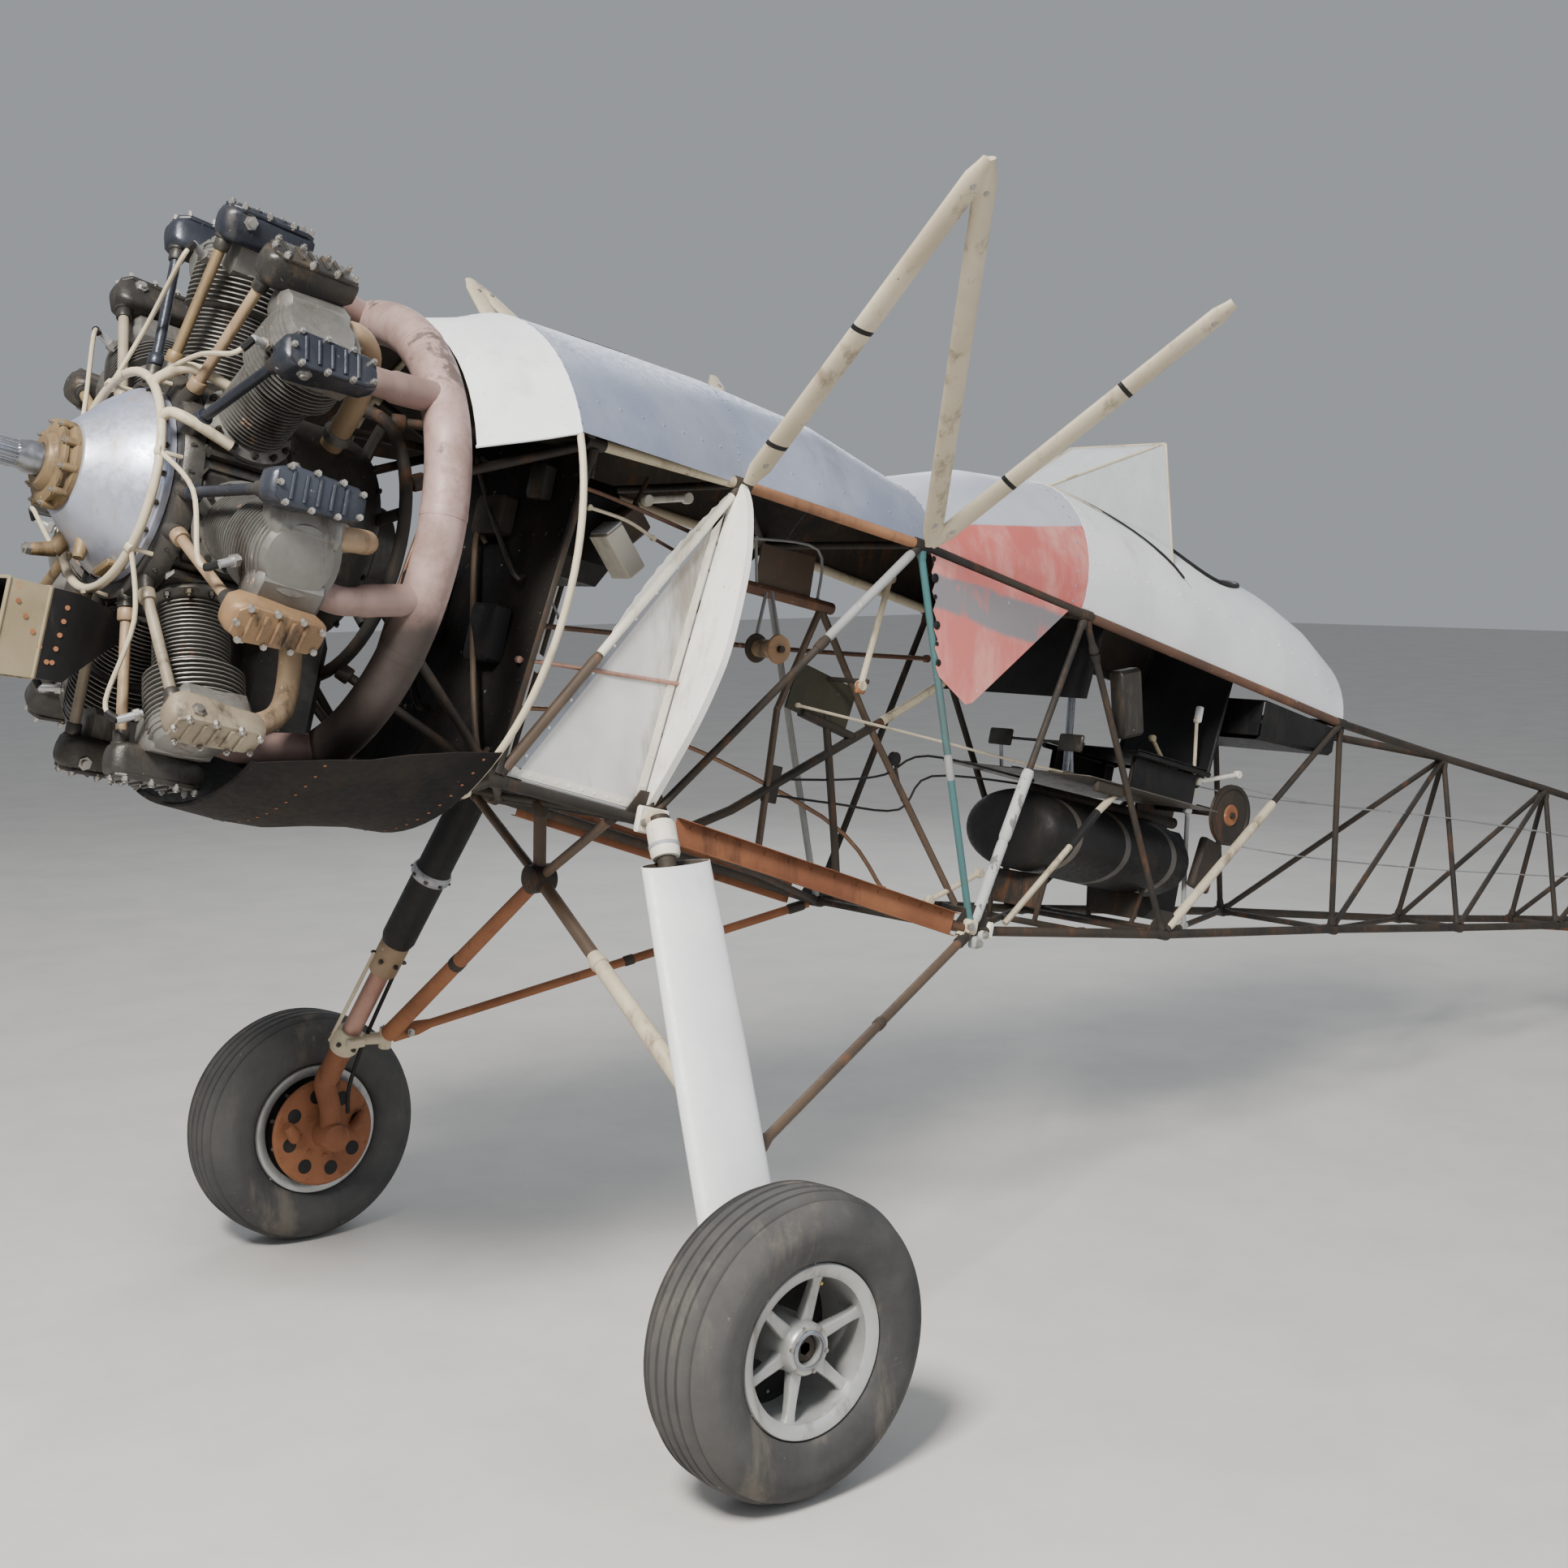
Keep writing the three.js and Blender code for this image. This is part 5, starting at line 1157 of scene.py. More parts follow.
def onAxle(side, radius, across, degrees):
    turn = radians(degrees)
    return axleAt(side) @ Vector((across, radius * sin(turn), radius * cos(turn)))


centre = Shape("gear_centre")
centre.lathe([(0, -0.0355), (0.027, -0.0355), (0.035, -0.030), (0.035, 0.030), (0.027, 0.0355), (0, 0.0355)],
             Matrix.Translation(hub), "darkFrame", 28)
for turn in turns(6):
    stud("darkNut", hub + Vector((-0.0335, 0.018 * sin(turn + 0.3), 0.018 * cos(turn + 0.3))),
         Vector((-1, 0, 0)), 0.0035, 0.003)
for side, radius, share, ring, length in ((-1, 0.0118, 0.94, 0.0145, 0.028), (1, 0.0118, 0.94, 0.0145, 0.028),
                                          (0, 0.0158, 0.9, 0.019, 0.035)):
    centre.bar(hub, lowAt(0.244, side), radius, "brownFrame", sides=16)
    centre.collar(hub, lowAt(0.244, side), share, ring, length, "darkFrame")
port, starboard = strutFitting(-1), strutFitting(1)
# The port cross strut is cream; its hub end is painted dark brown as the fuselage's shadow on it
centre.tube([hub, between(hub, port, 0.30)], 0.0168, "brownFrame", 18)
centre.tube([between(hub, port, t) for t in (0.29, 0.31, 0.95, 0.99)], [0.0168, 0.0190, 0.0236, 0.018],
            "creamTube", 20)
for t in (0.32, 0.6):
    centre.collar(hub, port, t, 0.0222, 0.018, "creamTube", 20)
centre.tube([hub, between(hub, starboard, 0.97)], [0.0168, 0.0236], "rustPlate", 18)
centre.collar(hub, starboard, 0.5, 0.0222, 0.03, "darkFrame")

for side, name in sides:
    strut = Shape(f"drag_strut_{name}")
    start, end = lowNode(2, side), strutFitting(side)
    strut.tube([between(start, end, t) for t in (0.02, 0.9, 0.93, 0.985)], [0.0126, 0.0126, 0.0200, 0.0200],
               "brownFrame" if side < 0 else "rustPlate", 18)
    strut.collar(start, end, 0.05, 0.0155, 0.05, "darkFrame")
    strut.collar(start, end, 0.45, 0.0152, 0.03, "darkFrame")
    aim, spot = Vector((0, side, 0)), between(start, end, 0.955)
    strut.bar(spot - aim * 0.026, spot + aim * 0.026, 0.0075, "bareSteel", sides=12)
    for way in (aim, -aim):
        stud("nut", spot + way * 0.026, way, 0.012, 0.008)

legs = {side: Shape(f"gear_leg_{name}", "steel" if side < 0 else "rust") for side, name in sides}
# Sleeved runs of each leg, as heights, radii, look and number of sides
sleeves = {-1: [((1.315, 1.24, 1.0, 0.485), (0.0218, 0.0218, 0.0215, 0.0215), "darkFrame", 20),
                ((1.302, 1.294, 1.236, 1.228), (0.030, 0.0345, 0.0345, 0.031), "creamPaint", 24)],
           1: [((1.312, 1.30, 1.10, 1.09), (0.040, 0.0458, 0.0458, 0.050), "blackForm", 24),
               ((1.092, 1.086, 1.072, 1.066), (0.049, 0.0538, 0.0538, 0.049), "castAlloy", 24),
               ((1.066, 0.90, 0.885), (0.0458, 0.0458, 0.040), "blackForm", 24),
               ((0.886, 0.878, 0.808, 0.800), (0.036, 0.0398, 0.0398, 0.034), "tanTube", 24),
               ((0.806, 0.602), (0.0258, 0.0258), "pinkRust", 24),
               ((0.628, 0.620, 0.580, 0.570), (0.034, 0.0398, 0.0398, 0.034), "creamTube", 24),
               ((0.572, 0.485), (0.0308, 0.0308), "rustPlate", 24)]}
for side, leg in legs.items():
    cast, topLook, rivet = (("darkFrame", "creamTube", "darkNut"),
                            ("rustPlate", "brownFrame", "rustRivet"))[side > 0]
    for heights, radii, look, count in sleeves[side]:
        leg.tube([legAt(height, side) for height in heights], radii, look, count)
    leg.tube([ground(0.201, side * 0.322, 1.297), ground(0.192, side * 0.36, 1.305),
              ground(0.181, side * 0.397, 1.310)],
             [0.0238, 0.0238, 0.022], topLook, 20)
    fitting, rise = strutFitting(side), Vector((0, -side * 0.005, 0.028))
    low = legAt(0.62 if side < 0 else 0.60, side)
    leg.tube([low, between(legAt(0.600, side), fitting, 0.5), fitting],
             [0.0168, 0.0168, 0.0165 if side < 0 else 0.0168], "creamTube", 18)
    leg.tube([fitting - rise, fitting + rise], 0.0175, "creamTube", 16)
    stud("nut", fitting + Vector((0, -side * 0.002, 0.028)), Vector((0, -side * 0.15, 1)).normalized(), 0.012,
         0.009)
    knee = [legAt(0.52, side), legAt(0.47, side) + Vector((0.001 if side < 0 else 0, 0, 0)),
            ground(0, side * 0.884, 0.40), ground(0, side * 0.884, axleHeight)]
    leg.tube(curved(knee, 4), 0.0295, cast, 22)
    place = axleAt(side)
    inward = place.to_3x3() @ Vector((-1, 0, 0))
    leg.lathe([(0, 0.846), (0.036, 0.846), (0.0398, 0.852), (0.0398, 0.92), (0.052, 0.9255), (0.144, 0.9255),
               (0.1498, 0.931), (0.1498, 0.9365), (0.144, 0.9418), (0.0296, 0.9418), (0.0296, 1.108),
               (0.026, 1.1118), (0, 1.1118)], place, cast, 48)
    for n in range(8):
        spot = onAxle(side, 0.105, 0.9262, 45 * n + 10)
        leg.tube([spot, spot + inward * 0.0022], [0.021, 0.019], "blackForm", 16)
        stud(rivet, onAxle(side, 0.066, 0.9252, 45 * n), inward, 0.006, 0.006)
        stud(rivet, onAxle(side, 0.139, 0.9252, 45 * n + 22), inward, 0.005, 0.004)
    for way in (-1, 1):
        start, end = onAxle(side, 0.09, 0.918, 90 * way), onAxle(side, 0.125, 0.905, 70 * way)
        leg.tube([start, between(start, end, 0.5) + inward * 0.006, end], [0.017, 0.019, 0.014], cast, 14)
    leg.lathe([(0, 1.104), (0.0225, 1.104), (0.0225, 1.1115), (0.014, 1.1118), (0, 1.1118)], place,
              "bareSteel", 6)

# What only the near leg has: two collars, a top bracket with its bolts, and a short hose
near = legs[-1]
# The upper collar takes the blue-grey of painted shade
near.collar(legAt(1.30, -1), legAt(1.22, -1), 0.6, 0.0362, 0.010, "shadeGrey", 24)
near.collar(legAt(0.56, -1), legAt(0.47, -1), 0.4, 0.032, 0.03, "brownFrame", 22)
near.block(tipped(ground(0.196, -0.345, 1.300)), (0, 0, 0), (0.086, 0.018, 0.062), "creamPaint", 0.004)
for x in (0.166, 0.226):
    stud("nut", ground(x, -0.355, 1.300), Vector((0, -1, 0)), 0.010, 0.008)
near.tube(curved([ground(*spot) for spot in ((0.21, -0.33, 1.29), (0.24, -0.37, 1.20), (0.20, -0.43, 1.16),
                                             (0.196, -0.455, 1.14))], 5), 0.008, "blackForm", 10)
# What only the far leg has: rings of nuts, two thin rods, a lug and a brake hose
far = legs[1]
axis = (legAt(0.5, 1) - legAt(1.3, 1)).normalized()
first = axis.cross(Vector((1, 0, 0))).normalized()
second = axis.cross(first)
for height, count, ring in ((1.076, 8, 0.046), (0.842, 6, 0.0385), (0.60, 6, 0.0385)):
    for turn in turns(count):
        out = first * cos(turn) + second * sin(turn)
        stud("darkNut", legAt(height, 1) + out * (ring + 0.003), out, 0.007, 0.009)
for x in (-0.04, 0.04):
    far.bar(*(legAt(height, 1) + Vector((x, 0.02, 0)) for height in (0.86, 0.60)), 0.0055, "creamTube",
            sides=10)
far.block(Matrix.Translation(legAt(0.60, 1)), (0, -0.048, 0), (0.05, 0.03, 0.024), "creamTube", 0.004)
hose = [legAt(height, 1) + Vector((x, y, 0))
        for height, x, y in ((0.95, 0.03, 0), (0.8, 0.036, -0.012), (0.6, 0.046, -0.02))]
far.tube(curved(hose + [ground(0.05, 0.862, 0.46), ground(0.045, 0.868, 0.38)], 5), 0.006, "blackForm", 8)

fairing = Shape("leg_fairing_left", "white", 44)
# Height, chord and thickness of the fairing, from its open top to its foot
fairingStations = [(1.215, 0.190, 0.070), (1.208, 0.1895, 0.0698), (1.03, 0.196, 0.073), (0.85, 0.202, 0.076),
                   (0.67, 0.202, 0.076), (0.50, 0.202, 0.076), (0.490, 0.2018, 0.0758)]
noseReach, tailReach = 0.73, 1.27


def fairingRing(row, wall):
    height, chord, thick = row
    return [legAt(height, -1)
            + Vector(((chord / 2 - wall) * cos(turn) * (tailReach if cos(turn) > 0 else noseReach),
                      (thick / 2 - wall) * sin(turn), 0)) for turn in turns(40)]


outer, inner = ([fairingRing(row, wall) for row in fairingStations] for wall in (0, 0.002))
fairing.rings(outer, "whitePaint", caps=False)
fairing.rings([ring[::-1] for ring in inner], "darkFrame", caps=False)
for end in (0, -1):
    fairing.rings([outer[end], inner[end]], "whitePaint", caps=False)
for height in (1.17 - n * 0.057 for n in range(12)):
    stud("rivet", legAt(height, -1) + Vector((0.095 * tailReach - 0.028, -0.0135, 0)),
         Vector((0.2, -1, 0.35)).normalized(), 0.003, 0.004)
hatch = []
for height, x in ((0.545, -0.030), (0.545, 0.008), (0.505, 0.012), (0.505, -0.026)):
    share = x / (0.101 * (tailReach if x > 0 else noseReach))
    hatch.append(legAt(height, -1) + Vector((x, -0.038 * sqrt(1 - share * share), 0)))
fairing.rings([[p + Vector((0, y, 0)) for p in hatch] for y in (-0.0006, 0.002)], "blackForm")
print("landing gear")

# wheels and tyres
wheelRim = [(0.1502, 1.000), (0.1502, 0.976), (0.155, 0.972), (0.1745, 0.966), (0.178, 0.967),
            (0.1805, 0.975), (0.176, 0.979), (0.1625, 0.994), (0.1602, 1.001), (0.1602, 1.109),
            (0.1625, 1.115), (0.176, 1.130), (0.1805, 1.134), (0.178, 1.139), (0.1745, 1.140), (0.155, 1.133),
            (0.1502, 1.129), (0.1502, 1.000)]
wheelHub = [(0.0312, 0.960), (0.058, 0.960), (0.0598, 0.964), (0.0598, 1.058), (0.057, 1.066),
            (0.0545, 1.118), (0.050, 1.1245), (0.0312, 1.1245), (0.0312, 0.960)]
wheelDisc = [(0.052, 0.9902), (0.155, 0.9902), (0.155, 0.9938), (0.052, 0.9938), (0.052, 0.9902)]
hubCap = [(0.034, 1.1240), (0.041, 1.1245), (0.041, 1.1275), (0.036, 1.130), (0.034, 1.130), (0.034, 1.1240)]
# Radius, distance along the axle, width and depth of a spoke's sections
spokeRows = ((0.048, 1.090, 0.016, 0.0135), (0.075, 1.0935, 0.0145, 0.012), (0.11, 1.098, 0.012, 0.0105),
             (0.135, 1.101, 0.0115, 0.010), (0.1545, 1.103, 0.015, 0.010))
tyreMiddle = 1.055
# Radius and distance from the tyre's middle of one sidewall, from the bead up
sidewall = [(0.1828, 0.0815), (0.190, 0.090), (0.205, 0.0975), (0.215, 0.0995), (0.238, 0.1052),
            (0.2615, 0.1072), (0.264, 0.1058), (0.267, 0.1048), (0.270, 0.1038), (0.285, 0.0955),
            (0.300, 0.0838)]


def crownAt(across):
    if across > 0.045:
        return 0.300 + 0.018 * (0.084 - across) / 0.039
    return 0.318 + 0.0033 * (1 - across / 0.045)


tread = []
for groove in (-0.071, -0.044, -0.0155, 0.0155, 0.044, 0.071):
    lift = crownAt(abs(groove))
    tread += [(lift - (0.0055 if abs(x) < 0.005 else 0), tyreMiddle + groove + x)
              for x in (-0.0052, -0.0038, 0.0038, 0.0052)]
tread.insert(12, (crownAt(0), tyreMiddle))
tyreProfile = [(radius, tyreMiddle - across) for radius, across in sidewall] + tread
tyreProfile += [(radius, tyreMiddle + across) for radius, across in sidewall[::-1]]
for side, name in sides:
    place, body = axleAt(side), f"wheel_{name}"
    outward = place.to_3x3() @ Vector((1, 0, 0))
    wheel = Shape(body, "wheel_alloy", 40, body)
    wheel.lathe(wheelRim, place, "wheelCast", 96)
    wheel.lathe(wheelHub, place, "wheelCast", 64)
    wheel.lathe(wheelDisc, place, "blackForm", 64)
    for degrees in (15 + 60 * k for k in range(6)):
        turn = radians(degrees)
        tangent = Vector((0, cos(turn), -sin(turn)))
        wheel.rings([[place @ (Vector((across + deep * z, radius * sin(turn), radius * cos(turn)))
                               + tangent * wide * y)
                      for y, z in outline(1, 1, 0.45)] for radius, across, wide, deep in spokeRows],
                    "wheelCast")
        stud("nut", onAxle(side, 0.0475, 1.1245, degrees + 30), outward, 0.0055, 0.004, body=body)
    wheel.lathe(hubCap, place, "bareSteel", 40)
    valve = onAxle(side, 0.146, 1.075, 20), onAxle(side, 0.132, 1.112, 20)
    wheel.tube([valve[0], between(*valve, 0.5), valve[1]], [0.004, 0.004, 0.0032], "yellowValve", 10)
    for n in range(10):
        stud("nut", onAxle(side, 0.128, 0.9898, 36 * n), -outward, 0.0065, 0.005, body=body)
    tyre = Shape(f"tyre_{name}", "tyre", 45, body)
    tyre.lathe(tyreProfile + tyreProfile[:1], place, "tyreRubber", 128)
print("wheels")

# cabane struts
def oval(foot, tip, share, chord, thick, lift=0.0):
    along = (tip - foot).normalized()
    fore = (rearward - along * rearward.dot(along)).normalized()
    sideways, middle = along.cross(fore), between(foot, tip, share) + along * lift
    return [middle + fore * (chord / 2 * cos(turn)) + sideways * (thick / 2 * sin(turn))
            for turn in turns(24)]


# Share along a strut, and how full its section is there
strutFill = ((0.0, 0.55), (0.012, 0.62), (0.05, 1.0), (0.3, 1.0), (0.7, 1.0), (0.95, 1.0), (0.985, 0.66),
             (1.0, 0.58))
for side, name, frontTip, rearTip in ((-1, "left", (0.364, -1.001, 1.040), (1.266, -0.978, 1.034)),
                                      (1, "right", (0.365, 1.050, 0.987), (1.267, 1.025, 0.982))):
    cabane = Shape(f"cabane_{name}", "cream", 40)
    frontFoot, rearFoot = (0.414, side * 0.343, 0.366), (1.03, side * 0.343, 0.376)
    for foot, tip, chord, thick, marks in ((frontFoot, frontTip, 0.0615, 0.0256, (0.13, 0.5)),
                                           (rearFoot, frontTip, 0.0555, 0.0236, ()),
                                           (rearFoot, rearTip, 0.0615, 0.0256, (0.27, 0.655))):
        foot, tip = fusAll(foot, tip)
        cabane.rings([oval(foot, tip, share, chord * grow, thick * min(1, grow + 0.1))
                      for share, grow in strutFill],
                     "creamTube")
        aim = (tip - foot).cross(rearward).normalized()
        for share in (0.07, 0.93):
            for way in (aim, -aim):
                stud("nut", between(foot, tip, share) + way * thick * 0.42, way, 0.008, 0.005)
        for share in marks:
            cabane.rings([oval(foot, tip, share, chord + 0.0006, thick + 0.0006, lift)
                          for lift in (-0.006, 0.006)],
                         "blackForm")
print("cabane struts")

# cockpit
footwell = Shape("cockpit_floor")
footwell.block(alongThrust, (2.15, 0, -0.078), (0.598, 0.590, 0.0028), "tankStrap", 0.0006)
for y in (-0.2, 0.0, 0.2):
    footwell.block(alongThrust, (2.15, y, -0.0745), (0.59, 0.03, 0.004), "darkFrame", 0.001)
footwell.tube(fusAll((2.08, 0, -0.076), (2.075, 0, -0.02), (2.045, 0, 0.16), (2.024, 0, 0.30)), 0.0115,
              "bareSteel", 16)
footwell.tube(fusAll((2.0275, 0, 0.27), (2.022, 0, 0.318), (2.020, 0, 0.329)), [0.0118, 0.0118, 0.008],
              "blackForm", 16)
footwell.lathe([(0, 0.0), (0.03, 0.0), (0.022, 0.02), (0.012, 0.03), (0, 0.03)],
               tipped(fus(2.08, 0, -0.0765)) @ Matrix.Rotation(-pi / 2, 4, "Y"), "blackForm", 20)
for side in (-1, 1):
    pedal = fus(1.92, side * 0.14, 0.02)
    footwell.bar(fus(1.95, side * 0.14, -0.078), pedal, 0.006, "bareSteel", sides=10)
    footwell.block(tipped(pedal), (0, 0, 0), (0.014, 0.09, 0.05), "oilyCasting", 0.004)
footwell.bar(fus(1.925, -0.185, 0.02), fus(1.925, 0.185, 0.02), 0.005, "oilyCasting", sides=10)

seat = Shape("seat", "dark")
halves = [-0.188 + 0.376 * j / 12 for j in range(13)]
pan, back = [], []
for n in range(9):
    x = 2.162 + 0.356 * n / 8
    dip = 0.016 * (1 - ((x - 2.34) / 0.19) ** 4)
    pan.append([fus(x, y, 0.0495 - dip * (1 - (y / 0.188) ** 4)) for y in halves])
for t in (n / 10 for n in range(11)):
    narrow = [y * (1 - 0.10 * t) for y in halves]
    back.append([fus(2.5045 + 0.08 * t + 0.012 * (1 - (y / 0.19) ** 2), y, 0.033 + 0.435 * t)
                 for y in narrow])
seat.sheet(pan, -0.003, "blackForm")
for side in (-1, 1):
    seat.bar(fus(2.165, side * 0.186, 0.038), fus(2.515, side * 0.186, 0.038), 0.0085, "blackForm", sides=10)
    for x in (2.2, 2.42):
        post = fusAll((x, side * 0.15, -0.074), (x, side * 0.15, 0.034))
        seat.bar(*post, 0.0085, "darkFrame", sides=10)
        seat.collar(*post, 0.06, 0.0098, 0.012, "darkFrame")
    seat.block(alongThrust, (2.335, side * 0.166, -0.020), (0.30, 0.004, 0.098), "blackForm", 0.0015)
seat.sheet(back, 0.0025, "blackForm")
backEdge = [(2.507, 0.186, 0.035), (2.545, 0.176, 0.26), (2.580, 0.158, 0.440), (2.591, 0.12, 0.4625)]
backEdge = [(x, -y, z) for x, y, z in backEdge] + [(2.594, 0, 0.4635)] + backEdge[::-1]
seat.tube(curved(fusAll(*backEdge), 5), 0.0062, "blackForm", 10)

tank = Shape("belly_tank", "dark", 42)


def tankRing(station, grow):
    return [fus(station, 0.1895 * grow * cos(turn), -0.25 + 0.1185 * grow * sin(turn))
            for turn in turns(48, 0.5)]


tank.rings([tankRing(*row)
            for row in ((1.8605, 0.5), (1.862, 0.72), (1.872, 0.86), (1.886, 0.955), (1.901, 0.998),
                        (2.0, 1), (2.2, 1), (2.4, 1), (2.489, 0.998), (2.504, 0.955), (2.518, 0.86),
                        (2.528, 0.74), (2.5295, 0.5))], "blackForm")
for x in (1.98, 2.2, 2.42):
    tank.rings([tankRing(x + lift, grow)
                for lift, grow in ((-0.012, 1), (-0.010, 1.002), (0.010, 1.002), (0.012, 1))],
               "tankStrap", caps=False)
for station in (1.96, 2.40):
    for side in (-1, 1):
        tank.bar(lowAt(station, side * 0.3), fus(station, side * 0.11, -0.33), 0.0078, "darkFrame", sides=12)
print("cockpit")

# tail
spring = Shape("tail_spring", "rust", 30)
# Place, top and underside of the leaf
leaf = [(4.690, 0.4655, 0.4525), (4.95, 0.4245, 0.4125), (5.20, 0.3835, 0.3725), (5.32, 0.3655, 0.3505),
        (5.405, 0.350, 0.334)]
spring.rings([[ground(x, y, z) for y, z in ((-0.0215, low), (0.0215, low), (0.0215, high), (-0.0215, high))]
              for x, high, low in leaf], "rustPlate")
for x, z in ((4.74, 0.458), (5.1, 0.400)):
    spring.block(Matrix.Translation(ground(x, 0, z)) @ Matrix.Rotation(radians(9), 4, "Y"), (0, 0, 0),
                 (0.03, 0.0435, 0.016), "darkFrame", 0.002)
upright = Matrix.Translation(ground(5.44, 0, 0)) @ Matrix.Rotation(-pi / 2, 4, "Y")
spring.lathe([(0.0112, 0.300), (0.0275, 0.300), (0.0298, 0.304), (0.0298, 0.352), (0.0275, 0.3558),
              (0.0112, 0.3558), (0.0112, 0.300)], upright, "rustPlate", 40)

fork = Shape("tailwheel_fork", "steel", 36, "tail_fork")
fork.lathe([(0, 0.262), (0.0255, 0.262), (0.0255, 0.288), (0.022, 0.2935), (0.0098, 0.2937), (0.0098, 0.344),
            (0.007, 0.3478), (0, 0.3478)], upright, "bareSteel", 32)
fork.block(Matrix.Translation(ground(5.47, 0, 0.264)), (0, 0, 0), (0.109, 0.128, 0.0115), "darkFrame", 0.003)
for side in (-1, 1):
    fork.rings([[ground(x, side * y, z)
                 for x, y in ((start, 0.0525), (end, 0.0525), (end, 0.0615), (start, 0.0615))]
                for z, start, end in ((0.2695, 5.4205, 5.5195), (0.22, 5.440, 5.5195), (0.16, 5.466, 5.5195),
                                      (0.101, 5.4815, 5.5185))], "darkFrame")
    stud("nut", ground(5.5, side * 0.0612, 0.125), Vector((0, side, 0)), 0.0135, 0.0008, body="tail_fork")
fork.bar(ground(5.5, -0.0558, 0.125), ground(5.5, 0.0558, 0.125), 0.0088, "bareSteel", sides=20)

small = Shape("tailwheel", "tyre", 40, "tail_wheel")
place = Matrix.Translation(ground(5.5, 0, 0.125)) @ Matrix.Rotation(pi / 2, 4, "Z")
hubFace = [(0.0102, -0.0415), (0.032, -0.0415), (0.0395, -0.0405), (0.048, -0.035), (0.0545, -0.031)]
halfTyre = [(0.0545, -0.031), (0.068, -0.0345), (0.080, -0.0358), (0.104, -0.0358), (0.112, -0.0345),
            (0.1205, -0.025), (0.1245, -0.016), (0.1245, -0.0085), (0.1215, -0.0075), (0.1215, -0.0045),
            (0.1245, -0.0035)]


def mirrored(profile):
    return [(radius, -across) for radius, across in profile[::-1]]


for profile, look, segments in ((hubFace, "wheelCast", 64), (mirrored(hubFace), "wheelCast", 64),
                                ([(0.0102, 0.0415), (0.0102, -0.0415)], "bareSteel", 64),
                                (halfTyre + mirrored(halfTyre), "tyreRubber", 96)):
    small.lathe(profile, place, look, segments)
print("tail")

# firewall
bulkhead = Shape("firewall", "dark")
# The firewall's near-black is soot and painted shade in the bay behind the engine
bulkhead.rings([fusAll((-0.096 - lift, -0.3215, -0.4515), (-0.096 - lift, 0.3215, -0.4515),
                       (-0.013 - lift, 0.3215, 0.3515), (-0.013 - lift, -0.3215, 0.3515))
                for lift in (0.0125, 0.0106)], "sootyCowl")


# A point of its front face
def onWall(half, height):
    return fus(-0.1085 + 0.083 * (height + 0.452) / 0.804, half, height)


wallNuts = [(-0.30 + n * 0.05, height) for height in (-0.3, -0.1, 0.12, 0.26) for n in range(13)]
wallNuts += [(half, -0.43 + n * 0.07) for half in (-0.31, 0.31) for n in range(12)]
for half, height in wallNuts:
    stud("darkNut", onWall(half, height), forward, 0.0035, 0.003)
# Boxes on the wall, as half width, height, width, tallness, depth and look
for half, height, wide, tall, deep, look in ((-0.17, -0.12, 0.10, 0.13, 0.05, "blackForm"),
                                             (0.14, -0.06, 0.15, 0.16, 0.06, "oilyCasting"),
                                             (-0.05, 0.16, 0.12, 0.09, 0.045, "darkFrame"),
                                             (0.18, 0.20, 0.09, 0.07, 0.04, "oilyCasting"),
                                             (-0.20, 0.24, 0.06, 0.08, 0.04, "oilyCasting")):
    bulkhead.block(tipped(onWall(half, height)), (-deep / 2, 0, 0), (deep, wide, tall), look, 0.006)
for start, end, radius, look in (((-0.28, -0.38), (-0.02, 0.10), 0.007, "brownFrame"),
                                 ((0.02, -0.30), (0.13, -0.14), 0.008, "blackForm"),
                                 ((-0.22, 0.02), (0.08, 0.30), 0.006, "oilyCasting"),
                                 ((0.26, -0.34), (0.24, 0.16), 0.007, "copperPipe")):
    a, b = onWall(*start), onWall(*end)
    path = [a + forward * 0.006, a + forward * 0.035, between(a, b, 0.5) + forward * 0.045,
            b + forward * 0.035, b + forward * 0.006]
    bulkhead.tube(curved(path, 6), radius, look, 10)
print("firewall")

